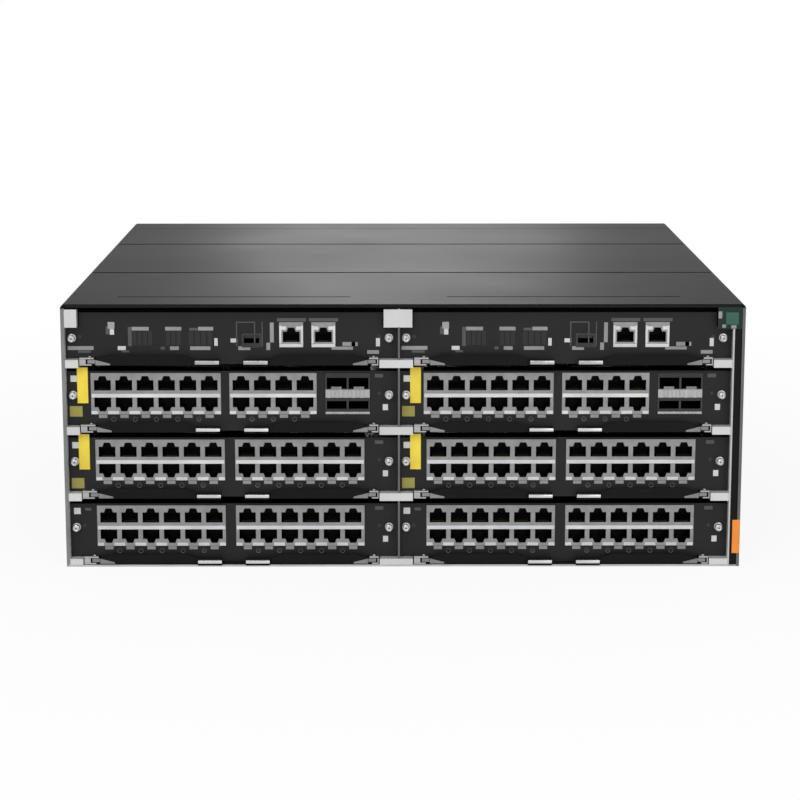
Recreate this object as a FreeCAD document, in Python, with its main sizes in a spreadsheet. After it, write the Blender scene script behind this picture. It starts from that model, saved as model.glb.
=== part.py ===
import FreeCAD, Part
import math
import os
import re
import Sketcher

# Four-unit modular chassis switch, in millimetres. +Z is up, the ports face -Y and +X is
# to the right as the front is seen. The origin is the middle of the whole outline, at the base.

document = FreeCAD.newDocument("chassis_switch")

# Driving sizes
sizes = {
    # case
    "overall_width": 444.5,
    "overall_height": 175.3,
    "case_depth": 450.9,
    "case_sheet": 1.2,
    "cover_flange": 12.0,
    "cover_bend": 3.0,
    "cover_lip": 2.3,
    "bead_width": 4.0,
    "bead_height": 0.7,
    "bead_front": 150.6,
    "bead_rear": 312.6,
    "slit_back": 31.6,
    "slit_width": 2.4,
    "slit_inset": 31.5,
    "seam_inset": 34.9,
    "trim_width": 6.7,
    "trim_depth": 16.0,
    "trim_round": 3.5,
    "vent_count": 6.0,
    "vent_rows": 2.0,
    "vent_pitch": 16.0,
    "vent_row_pitch": 88.9,
    "vent_width": 4.0,
    "vent_height": 24.0,
    "vent_start": 120.0,
    "vent_base": 14.0,
    "ear_hole": 3.3,
    "ear_back": 44.0,
    "ear_base": 30.2,
    "ear_rise": 88.9,
    # card bays
    "frame_sheet": 1.0,
    "slot_pitch": 44.45,
    "manager_room": 41.0,
    "bar_height": 5.2,
    "shelf_sheet": 1.2,
    "shelf_setback": 9.0,
    "tab_left": 8.7,
    "tab_right": 12.2,
    "block_left": 8.2,
    "block_right": 9.4,
    "block_drop": 15.3,
    "block_height": 11.8,
    "bay_depth": 285.0,
    "backplane_sheet": 3.2,
    "plug_width": 62.0,
    "plug_height": 10.0,
    "plug_depth": 6.0,
    "plug_reach": 13.65,
    "air_inset": 18.0,
    "air_rise": 2.0,
    "air_height": 13.0,
    # modules
    "slide_gap": 0.35,
    "face_recess": 6.6,
    "face_sheet": 1.4,
    "face_base": 1.6,
    "face_gap": 0.2,
    "card_top": 41.3,
    "manager_drop": 4.75,
    "module_sheet": 1.2,
    "module_flange": 12.0,
    "module_depth": 277.0,
    "post_height": 4.2,
    "post_radius": 3.0,
    "post_inset": 22.0,
    "post_front": 72.6,
    "board_sheet": 1.6,
    "board_inset": 3.0,
    "board_gap": 1.0,
    "sink_size": 60.0,
    "sink_height": 4.0,
    # network sockets
    "port_pitch": 13.97,
    "port_width": 11.0,
    "port_height": 6.9,
    "latch_width": 6.0,
    "latch_height": 2.7,
    "latch_slope": 1.0,
    "port_depth": 12.5,
    "block_wall": 0.6,
    "block_border": 2.0,
    "block_middle": 4.3,
    "block_depth": 22.0,
    "block_proud": 0.4,
    "card_block": 17.4,
    "card_block_gap": 6.8,
    "card_margin": 20.5,
    "uplink_block": 15.4,
    "uplink_gap": 5.6,
    "cage_pitch": 14.3,
    "cage_width": 13.0,
    "cage_height": 8.4,
    "cage_middle": 6.4,
    "cage_wall": 0.4,
    "cage_back": 2.0,
    "cage_depth": 42.0,
    "jack_width": 15.7,
    "jack_height": 16.6,
    "jack_inset": 56.2,
    "jack_gap": 5.3,
    "usb_gap": 11.7,
    "usb_width": 12.6,
    "usb_height": 9.0,
    "usb_wall": 0.7,
    "usb_foot": 2.4,
    "usb_depth": 14.0,
    "button_across": 29.6,
    "button_up": 27.2,
    "button_size": 4.4,
    "button_length": 7.0,
    "button_proud": 0.8,
    "button_gap": 0.25,
    # ejector levers
    "pivot_back": 3.4,
    "hub_radius": 2.6,
    "hub_ease": 0.6,
    "hub_height": 2.5,
    "hub_base": 2.85,
    "ear_sheet": 0.9,
    "ear_reach": 3.0,
    "ear_corner": 1.4,
    "lever_length": 84.6,
    "lever_space": 15.8,
    "lever_sheet": 1.8,
    "lever_base": 1.5,
    "lever_start": 3.8,
    "lever_crown": 6.6,
    "lever_rise": 8.4,
    "lever_tail": 3.8,
    "grip_length": 15.8,
    "grip_reach": 3.0,
    "grip_slope": 1.4,
    "grip_lip": 1.3,
    # rear units
    "bay_gap": 0.4,
    "shelf_rise": 46.0,
    "fan_head": 7.7,
    "fan_side": 17.25,
    "fan_end": 15.0,
    "fan_margin": 4.0,
    "fan_wall": 3.0,
    "fan_body": 26.0,
    "fan_hub": 19.0,
    "fan_blades": 5.0,
    "blade_sheet": 2.0,
    "blade_gap": 1.5,
    "blade_root": 2.0,
    "blade_inset": 1.0,
    "blade_turn": 38.0,
    "strut_width": 6.0,
    "strut_sheet": 3.0,
    "strut_sink": 1.0,
    "rotor_back": 5.0,
    "grille_slots": 8.0,
    "grille_inner": 17.0,
    "grille_edge": 3.0,
    "grille_slot": 12.0,
    "fan_grip_width": 8.0,
    "fan_grip_height": 60.0,
    "fan_grip_end": 6.0,
    "supply_side": 4.0,
    "supply_width": 102.0,
    "supply_pitch": 106.0,
    "supply_height": 42.0,
    "supply_gap": 10.7,
    "handle_reach": 16.0,
    "handle_width": 36.0,
    "handle_shift": 6.0,
    "handle_corner": 5.0,
    "handle_bar": 4.0,
    "handle_height": 10.0,
    "inlet_width": 27.0,
    "inlet_height": 19.0,
    "inlet_depth": 16.0,
    "inlet_start": 8.0,
    "latch_tab": 5.0,
    "latch_tall": 16.0,
    "latch_reach": 8.0,
    "latch_bevel": 2.0,
    "latch_seat": 10.0,
    "latch_travel": 3.0,
    "latch_start": 92.0,
    "exhaust_inset": 12.0,
    "exhaust_base": 7.0,
    "exhaust_depth": 4.0,
    "exhaust_step": 5.0,
    "exhaust_count": 6.0,
    "exhaust_height": 2.4,
    "exhaust_width": 22.0,
}

sheet = document.addObject("Spreadsheet::Sheet", "Sizes")
for row, (name, size) in enumerate(sizes.items(), start=1):
    sheet.set(f"A{row}", name)
    sheet.set(f"B{row}", str(size))
    sheet.setAlias(f"B{row}", name)
document.recompute()

word = re.compile(r"\b(" + "|".join(sorted(sizes, key=len, reverse=True)) + r")\b")


def bound(text):
    return word.sub(r"Sizes.\1", text)


def amount(text):
    return float(sheet.evalExpression(bound(text)))


# How many rows of cards, sockets in a row and fans the outline has room for
card_rows = max(1, int(amount("(overall_height - manager_room) / slot_pitch")))
manager_level = card_rows
levels = range(card_rows + 1)

# Places shared by several pieces
left = "(-overall_width / 2)"
right = "(overall_width / 2)"
front = "(-(case_depth + handle_reach - grip_reach) / 2)"
rear = f"({front} + case_depth)"
inside = "(overall_width - 2 * case_sheet)"
wall_top = "(overall_height - cover_flange)"
cover_under = "(overall_height - case_sheet)"
shoulder = "(overall_height - cover_bend)"
bay_width = "((overall_width - case_sheet - trim_width - 3 * frame_sheet) / 2)"
bay_left = f"({left} + case_sheet + frame_sheet)"
column_pitch = f"({bay_width} + frame_sheet)"
module_width = f"({bay_width} - 2 * slide_gap)"
block_base = "(overall_height - block_drop)"
floor_of_module = "(bar_height + slide_gap)"
trough_start = "(face_recess + face_sheet)"
board_base = f"({floor_of_module} + module_sheet + post_height)"
board_top = f"({board_base} + board_sheet)"
manager_top = f"(overall_height - manager_drop - {manager_level} * slot_pitch)"
shell_height = "(2 * block_border + 2 * (port_height + latch_height) + block_middle)"
pivot_inset = "(tab_right + slide_gap + ear_reach)"
hub_half = "sqrt(hub_radius * hub_radius - hub_ease * hub_ease)"
lever_room = f"({module_width} - 2 * {pivot_inset} - lever_space)"
backplane_front = f"({front} + bay_depth)"
backplane_back = f"({backplane_front} + backplane_sheet)"
rear_floor = "(case_sheet + bay_gap)"
supply_depth = "(case_depth - bay_depth - backplane_sheet - supply_gap)"
window_base = "(shelf_rise + case_sheet + bay_gap)"
window_height = f"(overall_height - fan_head - {window_base})"
window_width = "(overall_width - 2 * fan_side)"
fan_size = f"({window_height} - 2 * fan_margin)"
fan_bore = f"({fan_size} / 2 - fan_wall)"

columns_free = f"({module_width} - card_block - card_block_gap - card_margin - 4 * block_wall)"
card_columns = max(1, int(amount(f"{columns_free} / (2 * port_pitch)")))
uplink_columns = max(1, card_columns - 2)
fan_count = max(1, int(amount(f"({window_width} - 2 * fan_end) / {fan_size}")))
fan_pitch = f"(({window_width} - 2 * fan_end - {fan_size}) / {max(1, fan_count - 1)})"


def block_wide(columns):
    return f"({columns} * port_pitch + 2 * block_wall)"


def fan_across(number):
    return f"(({number} - {(fan_count - 1) / 2}) * {fan_pitch})"


def supply_left(number):
    return f"({left} + case_sheet + supply_side + {number} * supply_pitch)"


cage_wide = "(2 * cage_pitch + 2 * cage_wall)"
second_block = f"(card_block + {block_wide(card_columns)} + card_block_gap)"
second_uplink = f"(uplink_block + {block_wide(card_columns)} + uplink_gap)"
cage_start = f"({second_uplink} + {block_wide(uplink_columns)} + uplink_gap)"
jack_two = f"({module_width} - jack_inset)"
jack_one = f"({jack_two} - jack_gap - jack_width)"
usb_start = f"({jack_one} - usb_gap - usb_width)"


# Sketching and joining
def put(item, place):
    for axis, text in zip("xyz", place):
        item.setExpression(f"Placement.Base.{axis}", bound(text))
    return item


def new_body(name):
    return document.addObject("PartDesign::Body", name)


def arc_between(start, end, radius, bulge_left):
    middle = (start + end) / 2
    chord = end - start
    half = chord.Length / 2
    rise = math.sqrt(max(radius * radius - half * half, 0))
    aside = FreeCAD.Vector(-chord.y, chord.x, 0).normalize()
    centre = middle - aside * rise if bulge_left else middle + aside * rise
    circle = Part.Circle(centre, FreeCAD.Vector(0, 0, 1), radius)
    first, last = (end, start) if bulge_left else (start, end)
    return Part.ArcOfCircle(circle, circle.parameter(first), circle.parameter(last))


# A loop is a list of corners (across, up). A corner with a third and fourth entry starts
# an arc of that radius, which bulges to the left of the way drawn where the fourth is True.
def draw_loop(drawing, loop):
    base = drawing.GeometryCount
    places = [FreeCAD.Vector(amount(corner[0]), amount(corner[1]), 0) for corner in loop]
    ends = []
    for index, corner in enumerate(loop):
        start = places[index]
        end = places[(index + 1) % len(loop)]
        if len(corner) > 2:
            drawing.addGeometry(arc_between(start, end, amount(corner[2]), corner[3]))
            ends.append((2, 1) if corner[3] else (1, 2))
        else:
            drawing.addGeometry(Part.LineSegment(start, end))
            ends.append((1, 2))
    joins = []
    for index in range(len(loop)):
        after = (index + 1) % len(loop)
        joins.append(
            Sketcher.Constraint("Coincident", base + index, ends[index][1], base + after, ends[after][0])
        )
    drawing.addConstraint(joins)
    for index, corner in enumerate(loop):
        fix_point(drawing, base + index, ends[index][0], corner, places[index])
        if len(corner) > 2:
            number = drawing.addConstraint(Sketcher.Constraint("Radius", base + index, amount(corner[2])))
            drawing.setExpression(f"Constraints[{number}]", bound(corner[2]))


def fix_point(drawing, item, point, corner, place):
    for kind, text, at in (("DistanceX", corner[0], place.x), ("DistanceY", corner[1], place.y)):
        number = drawing.addConstraint(Sketcher.Constraint(kind, -1, 1, item, point, at))
        drawing.setExpression(f"Constraints[{number}]", bound(text))


def draw_circle(drawing, across, up, radius):
    centre = FreeCAD.Vector(amount(across), amount(up), 0)
    ring = drawing.addGeometry(Part.Circle(centre, FreeCAD.Vector(0, 0, 1), amount(radius)))
    fix_point(drawing, ring, 3, (across, up), centre)
    number = drawing.addConstraint(Sketcher.Constraint("Radius", ring, amount(radius)))
    drawing.setExpression(f"Constraints[{number}]", bound(radius))


def new_sketch(body, name, role, loops=(), circles=(), lift="0"):
    drawing = body.newObject("Sketcher::SketchObject", name)
    plane = next(item for item in body.Origin.OriginFeatures if item.Role == role)
    drawing.AttachmentSupport = (plane, [""])
    drawing.MapMode = "FlatFace"
    drawing.setExpression("AttachmentOffset.Base.z", bound(lift))
    for loop in loops:
        draw_loop(drawing, loop)
    for across, up, radius in circles:
        draw_circle(drawing, across, up, radius)
    return drawing


def rectangle(across, up, width, height):
    return [
        (across, up),
        (f"{across} + {width}", up),
        (f"{across} + {width}", f"{up} + {height}"),
        (across, f"{up} + {height}"),
    ]


def feature(body, kind, name, drawing, depth):
    item = body.newObject(f"PartDesign::{kind}", name)
    item.Profile = (drawing, [""])
    item.setExpression("Length", bound(depth))
    return item


# Seen from the front, a pad goes back from the place "start" along +Y
def pad_back(body, name, loops, start, depth, circles=()):
    drawing = new_sketch(body, f"{name}_outline", "XZ_Plane", loops, circles, f"-({start})")
    pad = feature(body, "Pad", name, drawing, depth)
    pad.Reversed = True
    return pad


def pocket_back(body, name, loops, start, depth):
    drawing = new_sketch(body, f"{name}_outline", "XZ_Plane", loops, (), f"-({start})")
    return feature(body, "Pocket", name, drawing, depth)


def pad_up(body, name, loops, start, height):
    drawing = new_sketch(body, f"{name}_outline", "XY_Plane", loops, (), start)
    return feature(body, "Pad", name, drawing, height)


def pocket_down(body, name, loops, top, depth):
    drawing = new_sketch(body, f"{name}_outline", "XY_Plane", loops, (), top)
    return feature(body, "Pocket", name, drawing, depth)


def pad_across(body, name, loops, start, width):
    drawing = new_sketch(body, f"{name}_outline", "YZ_Plane", loops, (), start)
    return feature(body, "Pad", name, drawing, width)


def pocket_across(body, name, loops, start, width, circles=()):
    drawing = new_sketch(body, f"{name}_outline", "YZ_Plane", loops, circles, start)
    pocket = feature(body, "Pocket", name, drawing, width)
    pocket.Reversed = True
    return pocket


def row_of(body, name, features, axis, pitch, count):
    row = body.newObject("PartDesign::LinearPattern", name)
    row.Originals = features
    row.Direction = (features[0].Profile[0], [axis])
    row.Mode = "Spacing"
    row.setExpression("Offset", bound(pitch))
    row.setExpression("Occurrences", bound(count))
    body.Tip = row
    return row


def grid_of(body, name, features, pitch, count, row_pitch, rows):
    grid = body.newObject("PartDesign::MultiTransform", name)
    grid.Originals = features
    steps = []
    for axis, spacing, number in (("H_Axis", pitch, count), ("V_Axis", row_pitch, rows)):
        step = body.newObject("PartDesign::LinearPattern", f"{name}_{axis}")
        step.Direction = (features[0].Profile[0], [axis])
        step.Mode = "Spacing"
        step.setExpression("Offset", bound(spacing))
        step.setExpression("Occurrences", bound(number))
        steps.append(step)
    grid.Transformations = steps
    body.Tip = grid
    return grid


def turned(body, name, features, turn_axis, count):
    ring = body.newObject("PartDesign::PolarPattern", name)
    ring.Originals = features
    ring.Axis = turn_axis
    ring.Angle = 360
    ring.setExpression("Occurrences", bound(count))
    body.Tip = ring
    return ring


nodes = []


def copy_of(pieces, name, place=("0", "0", "0")):
    copy = document.addObject("Part::Compound", name)
    copy.Links = pieces
    return put(copy, place)


# A node is a placed copy of one piece, or of several pieces that share a file
def node(label, pieces, place=("0", "0", "0")):
    copy = copy_of(pieces, label, place)
    copy.Label = label
    nodes.append(copy)
    return copy


def mirrored(name, piece):
    other = document.addObject("Part::Mirroring", name)
    other.Source = piece
    other.Normal = (1, 0, 0)
    other.Base = (0, 0, 0)
    return other


# Case: a floor pan between two side walls, and a rear panel around the rear units
def case_floor():
    body = new_body("case_floor")
    pad_back(body, "pan", [rectangle(f"{left} + case_sheet", "0", inside, "case_sheet")], front, "case_depth")
    return body


def case_walls():
    body = new_body("case_walls")
    walls = [rectangle(across, "0", "case_sheet", wall_top) for across in (left, f"{right} - case_sheet")]
    pad_back(body, "walls", walls, front, "case_depth")
    step = rectangle(f"{right} - trim_width", front, "2 * trim_width", "trim_depth")
    pocket_down(body, "trim_cut", [step], wall_top, f"{wall_top} - case_sheet")
    vent = rectangle(f"{front} + vent_start", "vent_base", "vent_width", "vent_height")
    vents = pocket_across(body, "side_vent", [vent], left, "overall_width")
    grid_of(body, "side_vents", [vents], "vent_pitch", "vent_count", "vent_row_pitch", "vent_rows")
    holes = [(f"{front} + ear_back", f"ear_base + {up} * ear_rise", "ear_hole / 2") for up in (0, 1)]
    pocket_across(body, "bracket_holes", [], left, "overall_width", holes)
    return body


def rear_rails():
    body = new_body("rear_rails")
    base = f"({rear_floor} + supply_height + bay_gap)"
    lower = rectangle(f"{left} + case_sheet", base, inside, f"{window_base} - {base}")
    upper = [
        (f"{left} + case_sheet", f"{window_base} + {window_height}"),
        (f"{right} - case_sheet", f"{window_base} + {window_height}"),
        (f"{right} - case_sheet", shoulder),
        (f"{right} - cover_bend", cover_under),
        (f"{left} + cover_bend", cover_under),
        (f"{left} + case_sheet", shoulder),
    ]
    pad_back(body, "rails", [lower, upper], f"{rear} - case_sheet", "case_sheet")
    return body


def rear_stiles():
    body = new_body("rear_stiles")
    wide = f"({inside} - {window_width}) / 2"
    stiles = [
        rectangle(across, window_base, wide, window_height)
        for across in (f"{left} + case_sheet", f"{window_width} / 2")
    ]
    pad_back(body, "stiles", stiles, f"{rear} - case_sheet", "case_sheet")
    return body


def rear_posts():
    body = new_body("rear_posts")
    last = f"({supply_left(1)} + supply_width + bay_gap)"
    tall = "(supply_height + 2 * bay_gap)"
    posts = [
        rectangle(f"{left} + case_sheet", "case_sheet", "supply_side - bay_gap", tall),
        rectangle(f"{supply_left(0)} + supply_width + bay_gap", "case_sheet",
                  "supply_pitch - supply_width - 2 * bay_gap", tall),
        rectangle(last, "case_sheet", f"{right} - case_sheet - {last}", tall),
    ]
    pad_back(body, "posts", posts, f"{rear} - case_sheet", "case_sheet")
    return body


def top_cover():
    body = new_body("cover")
    inner_bend = "(cover_bend - case_sheet)"
    across = f"({left} + cover_bend)"
    wide = "(overall_width - 2 * cover_bend)"
    outline = [
        (left, wall_top),
        (left, shoulder, "cover_bend", True),
        (across, "overall_height"),
        (f"{right} - cover_bend", "overall_height", "cover_bend", True),
        (right, shoulder),
        (right, wall_top),
        (f"{right} - case_sheet", wall_top),
        (f"{right} - case_sheet", shoulder, inner_bend, False),
        (f"{right} - cover_bend", cover_under),
        (across, cover_under, inner_bend, False),
        (f"{left} + case_sheet", shoulder),
        (f"{left} + case_sheet", wall_top),
    ]
    pad_back(body, "wrapped_sheet", [outline], front, "case_depth")
    lip = rectangle(across, "(overall_height - cover_lip)", wide, "cover_lip - case_sheet / 2")
    pad_back(body, "front_lip", [lip], front, "case_sheet")
    for name, back in (("front_bead", "bead_front"), ("rear_bead", "bead_rear")):
        bead = [
            (f"{front} + {back} - bead_width / 2", "overall_height"),
            (f"{front} + {back} - bead_width / 4", "overall_height - bead_height"),
            (f"{front} + {back} + bead_width / 4", "overall_height - bead_height"),
            (f"{front} + {back} + bead_width / 2", "overall_height"),
        ]
        pocket_across(body, name, [bead], across, wide)
    seam = rectangle(across, f"{rear} - seam_inset", wide, "slit_width / 2")
    pocket_down(body, "rear_seam", [seam], "overall_height", "bead_height")
    slits = [
        rectangle(f"{bay_left} + slit_inset + {column} * {column_pitch}", f"{front} + slit_back",
                  f"{bay_width} - 2 * slit_inset", "slit_width")
        for column in (0, 1)
    ]
    pocket_down(body, "front_slits", slits, "overall_height", "case_sheet")
    return body


# A strip closes the right edge and fills the step behind the cover's corner
def side_trim():
    body = new_body("trim")
    inner = f"({right} - trim_width)"
    outline = [
        (inner, front),
        (f"{right} - trim_round", front, "trim_round", False),
        (right, f"{front} + trim_round"),
        (right, f"{front} + trim_depth"),
        (inner, f"{front} + trim_depth"),
    ]
    pad_up(body, "strip", [outline], "case_sheet", f"{wall_top} - case_sheet")
    head = rectangle(inner, front, "trim_width - case_sheet - cover_bend / 2", "trim_depth")
    pad_up(body, "head", [head], "case_sheet", "overall_height - cover_lip - 2 * case_sheet")
    return body


# Bays: three upright sheets, shelves between them and plated tabs across the shelf ends
def bay_uprights():
    body = new_body("uprights")
    sheets = [
        rectangle(f"{left} + case_sheet + {number} * {column_pitch}", "case_sheet", "frame_sheet",
                  f"{shoulder} - case_sheet")
        for number in range(3)
    ]
    pad_back(body, "sheets", sheets, front, "bay_depth")
    return body


def bay_tabs():
    body = new_body("tabs")
    tabs = []
    blocks = []
    for column in (0, 1):
        start = f"({bay_left} + {column} * {column_pitch})"
        end = f"({start} + {bay_width})"
        for level in levels:
            low = f"({level} * slot_pitch)" if level else "case_sheet"
            tall = "bar_height" if level else "(bar_height - case_sheet)"
            tabs.append(rectangle(start, low, "tab_left", tall))
            tabs.append(rectangle(f"{end} - tab_right", low, "tab_right", tall))
        blocks.append(rectangle(start, block_base, "block_left", "block_height"))
        blocks.append(rectangle(f"{end} - block_right", block_base, "block_right", "block_height"))
    pad_back(body, "shelf_tabs", tabs, front, "shelf_setback")
    pad_back(body, "corner_blocks", blocks, front, "face_recess - slide_gap")
    return body


def bay_shelves():
    body = new_body("shelves")
    sheets = [
        rectangle(f"{bay_left} + {column} * {column_pitch}",
                  f"{level} * slot_pitch + bar_height - shelf_sheet", bay_width, "shelf_sheet")
        for level in levels for column in (0, 1)
    ]
    pad_back(body, "sheets", sheets, f"{front} + shelf_setback", "bay_depth - shelf_setback")
    return body


def backplane():
    body = new_body("plane")
    tall = f"({shoulder} - bar_height)"
    board = rectangle(f"{left} + case_sheet", "bar_height", f"2 * {bay_width} + 3 * frame_sheet", tall)
    vents = [
        rectangle(f"{bay_left} + {column} * {column_pitch} + air_inset",
                  f"{level} * slot_pitch + {board_top} + plug_height + air_rise",
                  f"{bay_width} - 2 * air_inset", "air_height")
        for level in levels for column in (0, 1)
    ]
    pad_back(body, "board", [board] + vents, backplane_front, "backplane_sheet")
    return body


def backplane_plugs():
    body = new_body("plane_plugs")
    plugs = [
        rectangle(f"{bay_left} + {column} * {column_pitch} + ({bay_width} - plug_width) / 2",
                  f"{level} * slot_pitch + {board_base}", "plug_width", "plug_height")
        for level in levels for column in (0, 1)
    ]
    pad_back(body, "plugs", plugs, f"{backplane_front} - plug_depth", "plug_depth")
    return body


def rear_deck():
    body = new_body("deck")
    deep = f"({rear} - case_sheet - {backplane_back})"
    deck = rectangle(f"{left} + case_sheet", backplane_back, inside, deep)
    pad_up(body, "plate", [deck], "shelf_rise", "case_sheet")
    return body


def rear_partitions():
    body = new_body("partitions")
    deep = f"({rear} - case_sheet - {backplane_back})"
    walls = [
        rectangle(f"{supply_left(number)} - bay_gap - (supply_pitch - supply_width) / 2", backplane_back,
                  "case_sheet", deep)
        for number in range(3)
    ]
    pad_up(body, "walls", walls, "case_sheet", "shelf_rise - case_sheet")
    return body


# Modules: the faceplate, its trough and the small pieces that all of them share
def window(across, width, height):
    return rectangle(f"{across} - face_gap", f"{board_top} - face_gap", f"{width} + 2 * face_gap",
                     f"{height} + 2 * face_gap")


def faceplate(name, top, windows, notches):
    body = new_body(name)
    outline = [
        ("tab_left", "face_base"),
        (f"{module_width} - tab_right", "face_base"),
        (f"{module_width} - tab_right", floor_of_module),
        (module_width, floor_of_module),
    ]
    outline += notches if notches else [(module_width, top), ("0", top)]
    outline += [("0", floor_of_module), ("tab_left", floor_of_module)]
    pad_back(body, "face", [outline] + windows, "face_recess", "face_sheet")
    return body


def module_trough():
    body = new_body("module_trough")
    outline = rectangle("0", floor_of_module, module_width, "module_sheet")
    pad_back(body, "floor", [outline], trough_start, f"module_depth - {trough_start}")
    return body


def module_flanges():
    body = new_body("module_flanges")
    tall = "(module_flange - module_sheet)"
    flanges = [
        rectangle(across, f"{floor_of_module} + module_sheet", "module_sheet", tall)
        for across in ("0", f"{module_width} - module_sheet")
    ]
    pad_back(body, "flanges", flanges, trough_start, f"module_depth - {trough_start}")
    return body


def module_posts():
    body = new_body("module_posts")
    wide = "(2 * post_radius)"
    posts = [
        rectangle(f"{across} - post_radius", f"{along} - post_radius", wide, wide)
        for across in ("post_inset", f"{module_width} - post_inset")
        for along in ("post_front", "module_depth - post_inset")
    ]
    pad_up(body, "posts", posts, f"{floor_of_module} + module_sheet", "post_height")
    return body


# Two ears hold each lever's hub from above and below. They reach out to the plated tab.
def pivot_ears():
    body = new_body("pivot_ears")
    ears = []
    for centre, sense in ((pivot_inset, 1), (f"({module_width} - {pivot_inset})", -1)):
        outer = f"({pivot_inset} - {'tab_left' if sense > 0 else 'tab_right'} - slide_gap)"
        ears.append([
            (f"{centre} - {sense} * {outer}", "face_recess"),
            (f"{centre} - {sense} * {outer}", "pivot_back - ear_corner"),
            (f"{centre} - {sense} * {outer} + {sense} * ear_corner", "pivot_back - ear_reach"),
            (f"{centre} + {sense} * ear_corner", "pivot_back - ear_reach"),
            (f"{centre} + {sense} * ear_reach", "pivot_back - ear_corner"),
            (f"{centre} + {sense} * ear_reach", "face_recess"),
        ])
    pad_up(body, "lower_ears", ears, "hub_base - slide_gap - ear_sheet", "ear_sheet")
    pad_up(body, "upper_ears", ears, "hub_base + hub_height + slide_gap", "ear_sheet")
    return body


def board_laminate():
    body = new_body("laminate")
    edge = "(module_sheet + board_inset)"
    start = f"({trough_start} + board_gap)"
    deep = f"module_depth - 2 * board_gap - {start}"
    outline = rectangle(edge, start, f"{module_width} - 2 * {edge}", deep)
    pad_up(body, "sheet", [outline], board_base, "board_sheet")
    return body


def board_plug():
    body = new_body("edge_plug")
    start = "(bay_depth - plug_depth - slide_gap - plug_reach)"
    plug = rectangle(f"({bay_width} - plug_width) / 2 - slide_gap", start, "plug_width", "plug_reach")
    pad_up(body, "plug", [plug], board_top, "plug_height - board_sheet")
    return body


def board_sink():
    body = new_body("heat_sink_base")
    sink_left = f"({module_width} - sink_size) / 2"
    sink = rectangle(sink_left, "(module_depth - sink_size) / 2", "sink_size", "sink_size")
    pad_up(body, "slab", [sink], board_top, "sink_height")
    return body


def ejector_lever(name, length):
    body = new_body(name)
    root = "(lever_start + lever_sheet)"
    hub = [
        ("-hub_ease", hub_half),
        ("hub_ease", hub_half),
        (root, "lever_sheet - hub_radius"),
        (root, f"-{hub_half}"),
        ("-hub_ease", f"-{hub_half}", "hub_radius", True),
    ]
    pad_up(body, "hub", [hub], "hub_base", "hub_height")
    tail = f"({length} - grip_length)"
    low = "(lever_base + lever_tail)"
    crown = "(lever_base + lever_crown)"
    arm = [
        ("lever_start", "lever_base"),
        (length, "lever_base"),
        (length, low),
        (tail, low),
        (f"{tail} - lever_rise", crown),
        ("lever_start + lever_rise", crown),
        ("lever_start", low),
    ]
    pad_back(body, "arm", [arm], "-hub_radius", "lever_sheet")
    out = "(pivot_back + grip_reach)"
    seat = "(lever_sheet / 2 - hub_radius)"
    grip = [
        (seat, "lever_base"),
        (f"-{out}", "lever_base"),
        (f"-{out}", "lever_base + grip_lip"),
        (f"-{out} + grip_slope", low),
        (seat, low),
    ]
    pad_across(body, "grip", [grip], tail, "grip_length")
    return body


# Sockets: one shell with two rows of openings, latch notches outward
def socket_loop(middle, edge, sense):
    inner = f"({edge} - {sense} * port_height)"
    notch = f"({edge} + {sense} * latch_height)"
    return [
        (f"{middle} - port_width / 2", inner),
        (f"{middle} + port_width / 2", inner),
        (f"{middle} + port_width / 2", edge),
        (f"{middle} + latch_width / 2", edge),
        (f"{middle} + latch_width / 2 - latch_slope", notch),
        (f"{middle} - latch_width / 2 + latch_slope", notch),
        (f"{middle} - latch_width / 2", edge),
        (f"{middle} - port_width / 2", edge),
    ]


def port_shell(name, columns):
    body = new_body(name)
    pad_back(body, "shell", [rectangle("0", "0", block_wide(columns), shell_height)], "0", "block_depth")
    middle = "(block_wall + port_pitch / 2)"
    lower = "(block_border + latch_height)"
    upper = f"({shell_height} - block_border - latch_height)"
    for label, edge, sense in (("lower", lower, -1), ("upper", upper, 1)):
        cut = pocket_back(body, f"{label}_socket", [socket_loop(middle, edge, sense)], "0", "port_depth")
        row_of(body, f"{label}_sockets", [cut], "H_Axis", "port_pitch", str(columns))
    return body


def cage_shell():
    body = new_body("cages")
    pad_back(body, "shell", [rectangle("0", "0", cage_wide, shell_height)], "0", "cage_depth")
    side = "((cage_pitch - cage_width) / 2 + cage_wall)"
    base = f"(({shell_height} - cage_middle) / 2 - cage_height)"
    lower = rectangle(side, base, "cage_width", "cage_height")
    cut = pocket_back(body, "cage_opening", [lower], "0", "cage_depth - cage_back")
    grid_of(body, "cage_openings", [cut], "cage_pitch", "2", "(cage_height + cage_middle)", "2")
    return body


def jack_shell():
    body = new_body("jack")
    pad_back(body, "shell", [rectangle("0", "0", "jack_width", "jack_height")], "0", "block_depth")
    edge = "((jack_height + port_height - latch_height) / 2)"
    pocket_back(body, "socket", [socket_loop("(jack_width / 2)", edge, 1)], "0", "port_depth")
    return body


def usb_shell():
    body = new_body("usb")
    pad_back(body, "shell", [rectangle("0", "0", "usb_width", "usb_height")], "0", "block_depth")
    high = "usb_height - usb_foot - usb_wall"
    opening = rectangle("usb_wall", "usb_foot", "usb_width - 2 * usb_wall", high)
    pocket_back(body, "socket", [opening], "0", "usb_depth")
    return body


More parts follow.
